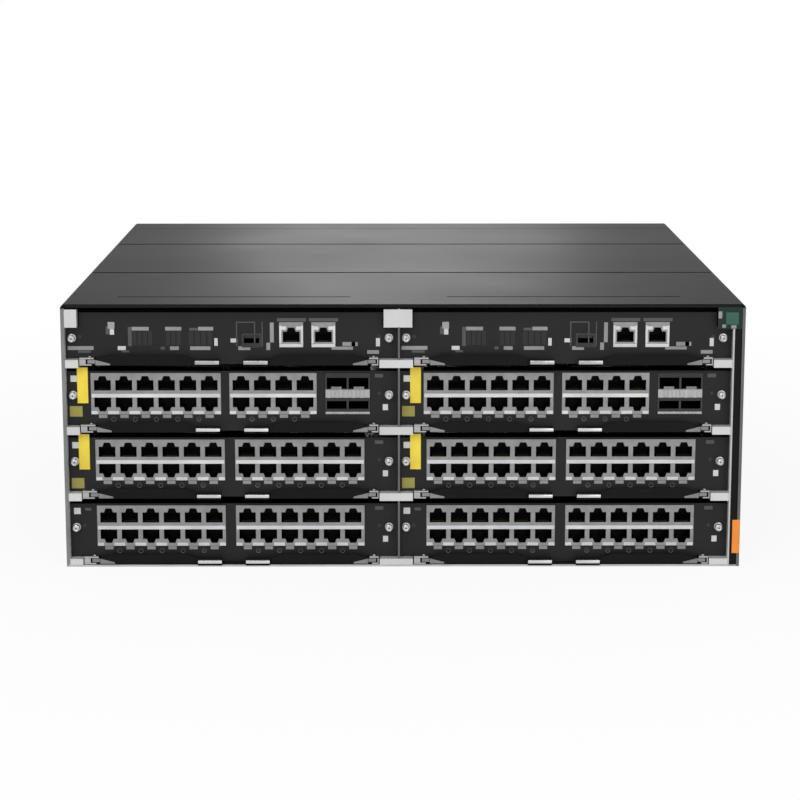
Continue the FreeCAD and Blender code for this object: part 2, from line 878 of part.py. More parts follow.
def manager_face():
    under = f"({block_base} - {manager_level} * slot_pitch - slide_gap)"
    inset_left = "(block_left + slide_gap)"
    inset_right = f"({module_width} - block_right - slide_gap)"
    notches = [
        (module_width, under),
        (inset_right, under),
        (inset_right, manager_top),
        (inset_left, manager_top),
        (inset_left, under),
        ("0", under),
    ]
    windows = [
        window(jack_one, "jack_width", "jack_height"),
        window(jack_two, "jack_width", "jack_height"),
        window(usb_start, "usb_width", "usb_height"),
    ]
    body = faceplate("manager_face", manager_top, windows, notches)
    reach = "(button_size / 2 + button_gap)"
    hole = rectangle(f"button_across - {reach}", f"button_up - {reach}", f"2 * {reach}", f"2 * {reach}")
    pocket_back(body, "button_hole", [hole], "face_recess", "face_sheet")
    return body


def mode_button():
    body = new_body("button")
    cap = rectangle("-button_size / 2", "-button_size / 2", "button_size", "button_size")
    pad_back(body, "cap", [cap], "-button_proud", "button_length")
    return body


# Rear units: two power supplies and one drawer of fans
supply_middle = "(supply_height / 2)"


def supply_case():
    body = new_body("supply_case")
    pad_back(body, "case", [rectangle("0", "0", "supply_width", "supply_height")], "0",
             f"{supply_depth} - inlet_depth")
    return body


def supply_end():
    body = new_body("supply_end")
    inlet = rectangle("inlet_start", f"{supply_middle} - inlet_height / 2", "inlet_width", "inlet_height")
    seat = rectangle("latch_start - latch_travel - bay_gap", f"{supply_middle} - latch_tall / 2 - bay_gap",
                     "latch_tab + latch_travel + 2 * bay_gap", "latch_tall + 2 * bay_gap")
    outline = rectangle("0", "0", "supply_width", "supply_height")
    pad_back(body, "end", [outline, inlet, seat], f"{supply_depth} - inlet_depth", "inlet_depth")
    slot = rectangle("supply_width / 2 + exhaust_inset", "exhaust_base", "exhaust_width", "exhaust_height")
    cut = pocket_back(body, "exhaust_slot", [slot], f"{supply_depth} - exhaust_depth", "exhaust_depth")
    row_of(body, "exhaust_slots", [cut], "V_Axis", "exhaust_step", "exhaust_count")
    return body


def supply_handle():
    body = new_body("supply_handle")
    near = "((supply_width - handle_width) / 2 - handle_shift)"
    far = f"({near} + handle_width)"
    foot = supply_depth
    crest = f"({supply_depth} + handle_reach)"
    neck = f"({crest} - handle_corner)"
    inner = f"({crest} - handle_corner - handle_bar / 2)"
    outline = [
        (near, foot),
        (near, neck),
        (f"{near} + handle_corner", crest),
        (f"{far} - handle_corner", crest),
        (far, neck),
        (far, foot),
        (f"{far} - handle_bar", foot),
        (f"{far} - handle_bar", inner),
        (f"{far} - handle_corner - handle_bar / 2", f"{crest} - handle_bar"),
        (f"{near} + handle_corner + handle_bar / 2", f"{crest} - handle_bar"),
        (f"{near} + handle_bar", inner),
        (f"{near} + handle_bar", foot),
    ]
    pad_up(body, "handle", [outline], f"{supply_middle} - handle_height / 2", "handle_height")
    return body


def supply_latch():
    body = new_body("latch")
    root = f"({supply_depth} - latch_seat + bay_gap)"
    tip = f"({supply_depth} + latch_reach)"
    outline = [
        ("latch_start", root),
        ("latch_start + latch_tab", root),
        ("latch_start + latch_tab", f"{tip} - latch_bevel"),
        ("latch_start + latch_tab - latch_bevel", tip),
        ("latch_start", tip),
    ]
    pad_up(body, "tab", [outline], f"{supply_middle} - latch_tall / 2", "latch_tall")
    return body


def fan_tray():
    body = new_body("drawer")
    wide = f"({window_width} - 2 * bay_gap)"
    high = f"({window_height} - 2 * bay_gap)"
    up = f"({window_height} / 2 - bay_gap)"
    pad_back(body, "panel", [rectangle(f"-{wide} / 2", "0", wide, high)], "-case_sheet", "case_sheet")
    bores = [(fan_across(number), up, fan_bore) for number in range(fan_count)]
    block = rectangle(f"{fan_across(0)} - {fan_size} / 2", f"{up} - {fan_size} / 2",
                      f"{fan_across(fan_count - 1)} - {fan_across(0)} + {fan_size}", fan_size)
    pad_back(body, "fan_bodies", [block], "-case_sheet / 2 - fan_body", "fan_body", bores)
    for number in range(fan_count):
        centre = fan_across(number)
        strut = rectangle(f"{centre} - {fan_bore} - strut_sink", f"{up} - strut_width / 2",
                          f"2 * {fan_bore} + 2 * strut_sink", "strut_width")
        pad_back(body, f"strut_{number}", [strut], "-case_sheet / 2 - fan_body", "strut_sheet")
        slot = [
            (f"{centre} - grille_slot / 4", f"{up} + grille_inner"),
            (f"{centre} + grille_slot / 4", f"{up} + grille_inner"),
            (f"{centre} + grille_slot", f"{up} + {fan_bore} - grille_edge"),
            (f"{centre} - grille_slot", f"{up} + {fan_bore} - grille_edge"),
        ]
        cut = pocket_back(body, f"grille_slot_{number}", [slot], "-case_sheet", "case_sheet")
        axis = new_sketch(body, f"fan_axis_{number}", "XZ_Plane")
        axis.setExpression("AttachmentOffset.Base.x", bound(centre))
        axis.setExpression("AttachmentOffset.Base.y", bound(up))
        turned(body, f"grille_{number}", [cut], (axis, ["N_Axis"]), "grille_slots")
    for number in range(fan_count - 1):
        drawer_grip(body, number, up)
    return body


def drawer_grip(body, number, up):
    middle = f"(({fan_across(number)} + {fan_across(number + 1)}) / 2)"
    low = "(-case_sheet / 2)"
    outline = rectangle(f"{middle} - fan_grip_width / 2", low, "fan_grip_width", f"handle_reach - {low}")
    pad_up(body, f"grip_{number}", [outline], f"{up} - fan_grip_height / 2", "fan_grip_height")
    room = "(fan_grip_height - 2 * fan_grip_end)"
    space = rectangle(f"{middle} - fan_grip_width", "0", "2 * fan_grip_width", "handle_reach - handle_bar")
    pocket_down(body, f"finger_room_{number}", [space], f"{up} + {room} / 2", room)


def fan_rotor():
    body = new_body("rotor")
    deep = "(fan_body - strut_sheet - rotor_back)"
    pad_back(body, "hub", [], "0", deep, [("0", "0", "fan_hub")])
    run = f"({deep} - blade_inset)"
    lean = f"({run} * tan(blade_turn) / 2)"
    blade = [
        (f"-{lean} - blade_sheet / 2", "0"),
        (f"-{lean} + blade_sheet / 2", "0"),
        (f"{lean} + blade_sheet / 2", run),
        (f"{lean} - blade_sheet / 2", run),
    ]
    drawing = new_sketch(body, "blade_outline", "XY_Plane", [blade], (), "fan_hub - blade_root")
    pad = feature(body, "Pad", "blade", drawing, f"{fan_bore} - blade_gap - fan_hub")
    turned(body, "blades", [pad], (new_sketch(body, "hub_axis", "XZ_Plane"), ["N_Axis"]), "fan_blades")
    return body


# Everything that goes into one module of each kind
def module_kinds():
    shared = [module_trough(), module_flanges(), module_posts(), pivot_ears()]
    wide = block_wide(card_columns)
    narrow = block_wide(uplink_columns)
    card_windows = [window(start, wide, shell_height) for start in ("card_block", second_block)]
    uplink_windows = [
        window("uplink_block", wide, shell_height),
        window(second_uplink, narrow, shell_height),
        window(cage_start, cage_wide, shell_height),
    ]
    long_ports = port_shell("long_ports", card_columns)
    short_ports = port_shell("short_ports", uplink_columns)
    jack = jack_shell()
    front_of = "face_recess - block_proud"

    def seated(piece, across):
        return copy_of([piece], f"{piece.Name}_copy", (across, front_of, board_top))

    return {
        "card": {
            "carrier": [faceplate("card_face", "card_top", card_windows, None)] + shared,
            "ports": [seated(long_ports, "card_block"), seated(long_ports, second_block)],
        },
        "uplink": {
            "carrier": [faceplate("uplink_face", "card_top", uplink_windows, None)] + shared,
            "ports": [seated(long_ports, "uplink_block"), seated(short_ports, second_uplink)],
            "cages": [seated(cage_shell(), cage_start)],
        },
        "manager": {
            "carrier": [manager_face()] + shared,
            "ports": [seated(jack, jack_one), seated(jack, jack_two), seated(usb_shell(), usb_start)],
        },
    }


def place_modules():
    kinds = module_kinds()
    board = [board_laminate(), board_plug(), board_sink()]
    button = mode_button()
    lever_left = ejector_lever("lever_left", "lever_length")
    lever_right = mirrored("lever_right", ejector_lever("lever_twin", f"({lever_room} - lever_length)"))
    number = 0
    for level in reversed(levels):
        for column in (0, 1):
            if level == manager_level:
                kind = kinds["manager"]
                label = f"manager_{column + 1}"
            else:
                kind = kinds["uplink"] if level == manager_level - 1 else kinds["card"]
                number += 1
                label = f"card_{number}"
            across = f"{bay_left} + {column} * {column_pitch} + slide_gap"
            up = f"{level} * slot_pitch"
            place = (across, front, up)
            for part_name, pieces in kind.items():
                node(f"{label}_{part_name}", pieces, place)
            node(f"{label}_board", board, place)
            if level == manager_level:
                button_place = (f"{across} + button_across", f"{front} + face_recess", f"{up} + button_up")
                node(f"{label}_button", [button], button_place)
            pivot = f"{front} + pivot_back"
            node(f"{label}_lever_left", [lever_left], (f"{across} + {pivot_inset}", pivot, up))
            node(f"{label}_lever_right", [lever_right],
                 (f"{across} + {module_width} - {pivot_inset}", pivot, up))


def place_rear_units():
    housing = [supply_case(), supply_end(), supply_handle()]
    latch = supply_latch()
    for number in (0, 1):
        place = (supply_left(number), f"{rear} - {supply_depth}", rear_floor)
        node(f"supply_{number + 1}_housing", housing, place)
        node(f"supply_{number + 1}_latch", [latch], place)
    drawer_base = f"({window_base} + bay_gap)"
    node("fan_tray", [fan_tray()], ("0", rear, drawer_base))
    rotor = fan_rotor()
    rotor_place = f"{rear} - case_sheet / 2 - fan_body + strut_sheet + slide_gap"
    for number in range(fan_count):
        node(f"fan_rotor_{number + 1}", [rotor],
             (fan_across(number), rotor_place, f"{drawer_base} + {window_height} / 2 - bay_gap"))


def assemble():
    node("chassis_tray", [case_floor(), case_walls(), rear_rails(), rear_stiles(), rear_posts()])
    node("top_cover", [top_cover()])
    node("side_trim", [side_trim()])
    node("bay_frame", [bay_uprights(), bay_tabs()])
    node("bay_shelves", [bay_shelves()])
    node("backplane", [backplane(), backplane_plugs()])
    node("rear_shelf", [rear_deck(), rear_partitions()])
    place_modules()
    place_rear_units()


def check():
    document.recompute()
    for item in document.Objects:
        if "Invalid" in item.State or "Error" in item.State:
            raise SystemExit(f"{item.Label} did not build: {item.State}")
    for item in nodes:
        if item.Shape.isNull() or not item.Shape.isValid():
            raise SystemExit(f"{item.Label} has no sound solid")


def write():
    os.makedirs("parts", exist_ok=True)
    for item in nodes:
        item.Shape.exportStep(f"parts/{item.Label}.step")


assemble()
check()
write()
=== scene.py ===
import math
import random

import bmesh
import bpy
from mathutils import Matrix, Vector


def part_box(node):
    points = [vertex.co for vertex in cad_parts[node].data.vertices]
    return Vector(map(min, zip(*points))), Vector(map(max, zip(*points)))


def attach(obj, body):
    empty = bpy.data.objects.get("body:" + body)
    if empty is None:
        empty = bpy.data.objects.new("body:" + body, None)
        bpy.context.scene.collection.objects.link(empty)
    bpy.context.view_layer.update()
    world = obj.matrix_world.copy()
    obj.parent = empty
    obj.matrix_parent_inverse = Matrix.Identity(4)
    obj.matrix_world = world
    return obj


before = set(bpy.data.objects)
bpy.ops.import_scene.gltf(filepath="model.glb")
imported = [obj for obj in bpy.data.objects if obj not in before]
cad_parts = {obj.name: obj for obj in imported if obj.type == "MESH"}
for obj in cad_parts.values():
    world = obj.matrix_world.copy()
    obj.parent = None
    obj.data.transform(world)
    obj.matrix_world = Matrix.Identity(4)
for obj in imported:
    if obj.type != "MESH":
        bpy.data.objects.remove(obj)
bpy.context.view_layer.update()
mm = 0.001
sharpAngle = math.radians(35)      # smooth pieces keep edges that turn more than this
print("frame loaded")


# A dictionary of sizes whose names are read with a dot
class Sizes(dict):
    __getattr__ = dict.__getitem__


# Sizes are written in millimetres, and the scene is in metres
def inMetres(sizes):
    if isinstance(sizes, dict):
        return Sizes((name, inMetres(size)) for name, size in sizes.items())
    if isinstance(sizes, tuple):
        return tuple(inMetres(size) for size in sizes)
    return sizes * mm


def boxOf(node):
    low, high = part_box(node)
    return Vector(low), Vector(high)


chassisLow, chassisHigh = boxOf("chassis_tray")
frontPlane, rearPlane = chassisLow.y, chassisHigh.y
leftWall, rightWall = chassisLow.x, chassisHigh.x
topPlane = boxOf("top_cover")[1].z

layout = inMetres({
    "faceBase": 1.6,       # faceplate bottom above the slot's own zero
    "faceRecess": 6.6,     # faceplate front behind the chassis front
    "faceSheet": 1.4,
    "slot": 44.45,
    "portPitch": 13.97,
    "portWidth": 11.0,
    "portHeight": 6.9,
    "latchHeight": 2.7,
    "shellWall": 0.6,
    "shellBorder": 2.0,
    "shellProud": 0.4,
    "jackWidth": 15.7,
    "jackTall": 16.6,
    "jackPitch": 21.0,
    "pivotBack": 3.4,      # lever pivots behind the chassis front
    "boardTop": 12.55,
})
faceFront = frontPlane + layout.faceRecess
shellFront = faceFront - layout.shellProud
shellSide = (layout.portPitch - layout.portWidth) / 2 + layout.shellWall

# Blocks of sockets: each block's left edge on its module, and its columns
cardRows = ((17.4 * mm, 6), (109.22 * mm, 6))
uplinkRows = ((15.4 * mm, 6), (106.02 * mm, 4))

managers = ["manager_1", "manager_2"]
cards = [f"card_{number}" for number in range(1, 7)]
uplinkCards = ["card_1", "card_2"]


# Each module is measured from its own carrier
def moduleOrigin(label):
    low = boxOf(f"{label}_carrier")[0]
    return Vector((low.x, frontPlane, low.z - layout.faceBase))


def blocksOf(label):
    return uplinkRows if label in uplinkCards else cardRows


# Small makers that every piece uses
def edgesOf(verts):
    return list(dict.fromkeys(edge for vert in verts for edge in vert.link_edges))


def soften(bm, edges, rounding, segments):
    bmesh.ops.bevel(bm, geom=edges, offset=rounding, offset_type="OFFSET", affect="EDGES", segments=segments,
                    profile=0.5, material=-1)


def addBlock(bm, low, high, rounding=0.0, segments=2):
    low, high = Vector(low), Vector(high)
    size = high - low
    matrix = Matrix.Translation((low + high) / 2) @ Matrix.Diagonal((*size, 1))
    verts = bmesh.ops.create_cube(bm, size=1, matrix=matrix)["verts"]
    rounding = min(rounding, 0.4 * min(size))    # a thin plate keeps a flat edge
    if rounding > 0:
        soften(bm, edgesOf(verts), rounding, segments)
    return verts


# Plates that stand proud of a plane that faces the front, each (left, right, low, high)
def addPlates(bm, plane, thick, plates, rounding=0.0, segments=1):
    for left, right, low, high in plates:
        addBlock(bm, (left, plane - thick, low), (right, plane, high), rounding, segments)


def addRound(bm, centre, radius, depth, axis="Y", segments=24, rounding=0.0, farRadius=None):
    turn = {"X": Matrix.Rotation(math.pi / 2, 4, "Y"), "Y": Matrix.Rotation(math.pi / 2, 4, "X"),
            "Z": Matrix.Identity(4)}[axis]
    verts = bmesh.ops.create_cone(bm, cap_ends=True, segments=segments, radius1=radius,
                                  radius2=radius if farRadius is None else farRadius, depth=depth,
                                  matrix=Matrix.Translation(Vector(centre)) @ turn)["verts"]
    if rounding > 0:
        rim = [edge for edge in edgesOf(verts) if any(len(face.verts) > 4 for face in edge.link_faces)]
        soften(bm, rim, rounding, 2)
    return verts


def frontCap(verts):
    caps = [face for vert in verts for face in vert.link_faces if len(face.verts) > 4]
    return min(caps, key=lambda face: face.calc_center_median().y)


# A round dish: the front cap is inset and pushed back into the rim
def addRing(bm, centre, radius, depth, hole, segments, dish=0.7):
    front = frontCap(addRound(bm, centre, radius, depth, "Y", segments))
    bmesh.ops.inset_individual(bm, faces=[front], thickness=radius - hole)
    bmesh.ops.translate(bm, verts=front.verts, vec=(0, depth * dish, 0))


def newObject(bm, name):
    mesh = bpy.data.meshes.new(name)
    bm.to_mesh(mesh)
    bm.free()
    item = bpy.data.objects.new(name, mesh)
    bpy.context.collection.objects.link(item)
    return item


# A name that begins with an underscore is put behind its body's name
def finishPiece(bm, name, body, finish, smooth=False):
    bmesh.ops.recalc_face_normals(bm, faces=bm.faces)
    piece = newObject(bm, body + name if name.startswith("_") else name)
    piece.data.materials.append(finishes[finish])
    if smooth:
        piece.data.shade_smooth()
        piece.data.set_sharp_from_angle(angle=sharpAngle)
    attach(piece, body)


def platePiece(name, body, finish, plane, thick, plates, rounding=0.0, segments=1):
    bm = bmesh.new()
    addPlates(bm, plane, thick, plates, rounding, segments)
    finishPiece(bm, name, body, finish)


# Plates measured from a corner. With a far corner, a number below zero counts back from that one.
def placed(corner, plates, far=None):
    far = corner if far is None else far
    x, z = (corner.x, far.x), (corner.z, far.z)
    return [(x[left < 0] + left, x[right < 0] + right, z[low < 0] + low, z[high < 0] + high)
            for left, right, low, high in plates]


# A block measured from a corner or a middle, given its two far ends
def addBox(bm, corner, ends, rounding=0.0, segments=2):
    addBlock(bm, corner + Vector(ends[0]), corner + Vector(ends[1]), rounding, segments)


def boxPiece(name, body, finish, corners, ends, rounding=0.0, segments=2):
    bm = bmesh.new()
    for corner in corners:
        addBox(bm, corner, ends, rounding, segments)
    finishPiece(bm, name, body, finish)


# Two places beside a middle, the lower one first
def reach(middle, sense, near, far):
    return sorted((middle + sense * near, middle + sense * far))


def around(middle, width):
    return reach(middle, 1, -width / 2, width / 2)


# Materials: every pattern reads the piece's own coordinates
def addNode(tree, kind, values=None, feeds=None):
    node = tree.nodes.new(f"ShaderNode{kind}")
    for name, value in (values or {}).items():
        node.inputs[name].default_value = value
    for name, source in (feeds or {}).items():
        tree.links.new(source, node.inputs[name])
    return node


def newTree(name):
    material = bpy.data.materials.new(name)
    material.use_nodes = True
    tree = material.node_tree
    return material, tree, tree.nodes["Principled BSDF"], addNode(tree, "TexCoord").outputs["Object"]


def noiseAt(tree, place, scale, detail=4.0, stretch=(1, 1, 1)):
    mapping = addNode(tree, "Mapping", {"Scale": stretch}, {"Vector": place})
    noise = addNode(tree, "TexNoise", {"Scale": scale, "Detail": detail},
                    {"Vector": mapping.outputs["Vector"]})
    return noise.outputs["Fac"]


def ramp(tree, source, start, end):
    band = addNode(tree, "ValToRGB", feeds={"Fac": source})
    for element, position, color in zip(band.color_ramp.elements, (0.35, 0.65), (start, end)):
        element.position = position
        element.color = (*color, 1)
    return band.outputs["Color"]


def spread(tree, source, low, high):
    limits = {"From Min": 0.3, "From Max": 0.7, "To Min": low, "To Max": high}
    return addNode(tree, "MapRange", limits, {"Value": source}).outputs["Result"]


def bump(tree, shader, source, strength, distance=0.0004):
    node = addNode(tree, "Bump", {"Strength": strength, "Distance": distance}, {"Height": source})
    tree.links.new(node.outputs["Normal"], shader.inputs["Normal"])


def mixShaders(tree, share, first, second, output):
    mix = addNode(tree, "MixShader", feeds={"Fac": share, 1: first, 2: second})
    tree.links.new(mix.outputs["Shader"], output.inputs["Surface"])


# Colour and roughness each wander between two shares of their middle value
def vary(tree, shader, color, colorNoise, colorShares, roughness, roughNoise, roughShares):
    dark, light = [tuple(min(part * share, 1) for part in color) for share in colorShares]
    tree.links.new(ramp(tree, colorNoise, dark, light), shader.inputs["Base Color"])
    low, high = [roughness * share for share in roughShares]
    tree.links.new(spread(tree, roughNoise, low, high), shader.inputs["Roughness"])


# Satin powder coat: slight cloudiness and a fine orange peel
def powderCoat(name, tone, roughness, specular):
    material, tree, shader, place = newTree(name)
    cloud = noiseAt(tree, place, 6.0, 3.0)
    vary(tree, shader, (tone, tone, tone * 1.02), cloud, (0.9, 1.1), roughness, cloud, (0.94, 1.06))
    shader.inputs["Specular IOR Level"].default_value = specular
    bump(tree, shader, noiseAt(tree, place, 900.0, 2.0), 0.12)
    return material


def brushedMetal(name, tone, roughness, stretch, tint=(1, 1, 1)):
    material, tree, shader, place = newTree(name)
    lines = noiseAt(tree, place, 60.0, 6.0, stretch)
    cloud = noiseAt(tree, place, 25.0, 3.0)
    color = [tone * part for part in tint]
    vary(tree, shader, color, lines, (0.86, 1.06), roughness, cloud, (0.85, 1.2))
    shader.inputs["Metallic"].default_value = 1.0
    bump(tree, shader, lines, 0.06)
    return material


def mouldedPlastic(name, color, roughness, specular=0.4):
    material, tree, shader, place = newTree(name)
    cloud = noiseAt(tree, place, 40.0, 3.0)
    vary(tree, shader, color, cloud, (0.88, 1.1), roughness, cloud, (0.9, 1.1))
    shader.inputs["Specular IOR Level"].default_value = specular
    bump(tree, shader, noiseAt(tree, place, 1600.0, 1.0), 0.15)
    return material


def buildFinish(tree, place, shader, tone, roughness, metallic=0.0, scale=40.0, stretch=(1, 1, 1),
                specular=0.5):
    cloud = noiseAt(tree, place, scale, 4.0, stretch)
    vary(tree, shader, (tone, tone, tone), cloud, (0.9, 1.08), roughness, cloud, (0.9, 1.1))
    shader.inputs["Metallic"].default_value = metallic
    shader.inputs["Specular IOR Level"].default_value = specular
    bump(tree, shader, noiseAt(tree, place, 900.0, 2.0), 0.1)


# Two finishes on one piece: one in front of a plane across the depth, the other behind it
def partedFinish(name, limit, front, behind):
    material, tree, shader, place = newTree(name)
    other = addNode(tree, "BsdfPrincipled")
    buildFinish(tree, place, shader, **front)
    buildFinish(tree, place, other, **behind)
    parts = addNode(tree, "SeparateXYZ", feeds={"Vector": place})
    test = addNode(tree, "Math", {1: limit}, {0: parts.outputs["Y"]})
    test.operation = "LESS_THAN"
    mixShaders(tree, test.outputs["Value"], other.outputs["BSDF"], shader.outputs["BSDF"],
               tree.nodes["Material Output"])
    return material


# Glass-epoxy laminate with copper tracks under green resist
def circuitBoard(name):
    material, tree, shader, place = newTree(name)
    tracks = addNode(tree, "TexBrick", {
        "Scale": 120.0, "Mortar Size": 0.03, "Color1": (0.012, 0.075, 0.035, 1),
        "Color2": (0.016, 0.095, 0.045, 1), "Mortar": (0.03, 0.16, 0.07, 1)}, {"Vector": place})
    tree.links.new(tracks.outputs["Color"], shader.inputs["Base Color"])
    tree.links.new(spread(tree, noiseAt(tree, place, 80.0), 0.25, 0.4), shader.inputs["Roughness"])
    bump(tree, shader, tracks.outputs["Fac"], 0.2, 0.0001)
    return material


# Colour, roughness and, where it isn't 0.4, specular level
plastics = {
    "blackPlastic": ((0.004, 0.004, 0.0045), 0.5, 0.12),
    "leverBlack": ((0.006, 0.006, 0.0062), 0.5, 0.1),
    "greyPlastic": ((0.33, 0.335, 0.34), 0.38),
    # Near-black finish for strips laid in the gaps under the cover: painted shade
    "gapBlack": ((0.001, 0.001, 0.001), 0.9, 0.02),
    "rootGrey": ((0.24, 0.24, 0.235), 0.5, 0.2),
    "edgePaint": ((0.21, 0.225, 0.22), 0.5, 0.2),
    "darkGreen": ((0.008, 0.026, 0.02), 0.5, 0.2),
    "bezelGrey": ((0.035, 0.035, 0.036), 0.5, 0.2),
    "edgeGrey": ((0.12, 0.115, 0.11), 0.5),
    "brightTin": ((0.66, 0.66, 0.67), 0.35),
    "yellowStrip": ((0.86, 0.66, 0.06), 0.45),
    "olivePatch": ((0.3, 0.27, 0.06), 0.5),
    "greenTab": ((0.045, 0.115, 0.085), 0.5, 0.2),
    "orangeTag": ((0.85, 0.26, 0.03), 0.5),
    "printInk": ((0.28, 0.28, 0.28), 0.6),
    "printInkFaint": ((0.075, 0.075, 0.075), 0.6),
    "printInkBright": ((0.62, 0.62, 0.62), 0.6),
    "darkLens": ((0.01, 0.011, 0.01), 0.2),
    "chipEpoxy": ((0.018, 0.018, 0.019), 0.35),
    "ceramicPart": ((0.45, 0.36, 0.24), 0.5),
    "capacitorSleeve": ((0.02, 0.025, 0.05), 0.3),
    "lampGreen": ((0.1, 0.5, 0.14), 0.25),
}
# Tone, roughness, the brush lines' stretch and a tint
metals = {
    "zincPlate": (0.6, 0.32, (1, 1, 60)),
    "nickelShield": (0.45, 0.3, (60, 1, 1)),
    "goldContact": (0.12, 0.4, (1, 40, 1), (1.0, 0.76, 0.42)),
    "steelScrew": (0.42, 0.3, (8, 1, 8)),
    "edgeMetal": (0.5, 0.4, (1, 60, 1)),
    "heatSinkMetal": (0.5, 0.35, (1, 40, 1)),
    # Shelf zinc: a darkened copy of the zinc, painted shade on the shelves recessed behind the levers
    "shelfZinc": (0.16, 0.42, (1, 30, 1)),
}
# The plane that parts them, then the finishes in front of it and behind it
parted = {
    "trayCoat": (frontPlane + 0.5 * mm, dict(tone=0.3, roughness=0.36, metallic=0.8, stretch=(1, 1, 20)),
                 dict(tone=0.016, roughness=0.5, scale=6.0, specular=0.08)),
    "faceCoat": (faceFront + layout.faceSheet + 0.2 * mm,
                 dict(tone=0.013, roughness=0.45, scale=30.0, specular=0.2),
                 dict(tone=0.6, roughness=0.35, metallic=1.0, stretch=(1, 30, 1))),
    "socketShell": (shellFront + 0.35 * mm, dict(tone=0.27, roughness=0.4, metallic=0.6, scale=160.0),
                    dict(tone=0.003, roughness=0.5, scale=200.0, specular=0.1)),
    "cageShell": (shellFront + 0.35 * mm, dict(tone=0.05, roughness=0.4, metallic=0.7, scale=160.0),
                  dict(tone=0.003, roughness=0.5, scale=200.0, specular=0.1)),
    # Bay frame: bright zinc in front of the plane, and behind it a darker copy of the zinc as painted shade
    # in the recess
    "bayFrame": (frontPlane + 8.0 * mm, dict(tone=0.62, roughness=0.42, metallic=0.3, scale=12.0),
                 dict(tone=0.12, roughness=0.45, metallic=1.0, stretch=(1, 30, 1))),
    # Supply housing: metal in front of the plane, dark behind it as painted shade in the rear well, which
    # also darkens that end of the outer sides
    "supplyCase": (rearPlane - 17.0 * mm, dict(tone=0.62, roughness=0.32, metallic=1.0, stretch=(1, 30, 1)),
                   dict(tone=0.045, roughness=0.45, scale=30.0)),
}
finishes = {"coverCoat": powderCoat("coverCoat", 0.014, 0.44, 0.02),
            "circuitBoard": circuitBoard("circuitBoard")}
for maker, table in ((mouldedPlastic, plastics), (brushedMetal, metals), (partedFinish, parted)):
    finishes.update({name: maker(name, *facts) for name, facts in table.items()})

nodeFinish = {
    "chassis_tray": "trayCoat", "top_cover": "coverCoat", "side_trim": "blackPlastic",
    "bay_frame": "bayFrame", "bay_shelves": "shelfZinc", "backplane": "circuitBoard",
    "rear_shelf": "zincPlate", "fan_tray": "trayCoat",
}
endFinish = {
    "_carrier": "faceCoat", "_board": "circuitBoard", "_ports": "socketShell", "_cages": "cageShell",
    "_left": "leverBlack", "_right": "leverBlack", "_button": "greyPlastic", "_latch": "greyPlastic",
    "_housing": "supplyCase",
}
for node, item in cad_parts.items():
    ends = [finish for end, finish in endFinish.items() if node.endswith(end)]
    finish = "blackPlastic" if node.startswith("fan_rotor") else (ends or [nodeFinish.get(node)])[0]
    item.data.materials.clear()
    item.data.materials.append(finishes[finish])
print("finishes given to", len(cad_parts), "nodes")

# The camera looks down on the front by the angle that the cover's outline in the photo gives
view = {"place": (-7.1 * mm, frontPlane - 1509.8 * mm, 403.4 * mm), "pitch": 10.92, "yaw": -0.192,
        "focalPixels": 2356.5, "framePixels": 800, "sensor": 36.0}
lens = bpy.data.cameras.new("camera")
lens.sensor_width = view["sensor"]
lens.lens = view["focalPixels"] / view["framePixels"] * view["sensor"]
lens.clip_end = 200.0
camera = bpy.data.objects.new("camera", lens)
bpy.context.collection.objects.link(camera)
camera.location = view["place"]
camera.rotation_euler = (math.radians(90 - view["pitch"]), 0, math.radians(view["yaw"]))
bpy.context.scene.camera = camera

# Studio: a pale floor that fades into a white surround, and soft lamps. Distances are in metres.
studio = {"floorSize": 80.0, "floorTone": 0.86, "fadeStart": 0.25, "fadeEnd": 0.9, "nearGlow": 0.9,
          "fillTone": 0.5, "target": (0, 0, 0.08)}
lamps = {
    "key": {"place": (-0.7, -1.7, 1.4), "size": 1.1, "power": 15.0},
    "fill": {"place": (0.9, -1.8, 0.8), "size": 1.2, "power": 9.0},
    "back": {"place": (0.0, 1.9, 0.62), "size": 0.5, "power": 3.3},
}


# 1 for rays that see the background straight or by a mirror or glass, else 0
def backgroundRay(tree):
    path = addNode(tree, "LightPath")
    value = path.outputs["Is Camera Ray"]
    for kind in ("Is Transmission Ray", "Is Glossy Ray"):
        either = addNode(tree, "Math", feeds={0: value, 1: path.outputs[kind]})
        either.operation = "MAXIMUM"
        value = either.outputs["Value"]
    return value


def makeFloor():
    bm = bmesh.new()
    bmesh.ops.create_grid(bm, x_segments=1, y_segments=1, size=studio["floorSize"] / 2)
    floor = newObject(bm, "floor")
    material, tree, shader, place = newTree("paleFloor")
    shader.inputs["Base Color"].default_value = (*[studio["floorTone"]] * 3, 1)
    shader.inputs["Roughness"].default_value = 0.9
    shader.inputs["Specular IOR Level"].default_value = 0.1
    reach = addNode(tree, "VectorMath", feeds={0: place})
    reach.operation = "LENGTH"
    limits = {"From Min": studio["fadeStart"], "From Max": studio["fadeEnd"], "To Min": studio["nearGlow"]}
    fade = addNode(tree, "MapRange", limits, {"Value": reach.outputs["Value"]})
    share = addNode(tree, "Math", feeds={0: fade.outputs["Result"], 1: backgroundRay(tree)})
    share.operation = "MULTIPLY"
    glow = addNode(tree, "Emission", {"Strength": 1.0})
    mixShaders(tree, share.outputs["Value"], shader.outputs["BSDF"], glow.outputs["Emission"],
               tree.nodes["Material Output"])
    floor.data.materials.append(material)


def makeSurround():
    world = bpy.data.worlds.new("surround")
    bpy.context.scene.world = world
    world.use_nodes = True
    tree = world.node_tree
    tree.nodes.clear()
    fill = addNode(tree, "Background", {"Color": (*[studio["fillTone"]] * 3, 1)})
    white = addNode(tree, "Background", {"Color": (1, 1, 1, 1)})
    mixShaders(tree, backgroundRay(tree), fill.outputs["Background"], white.outputs["Background"],
               addNode(tree, "OutputWorld"))


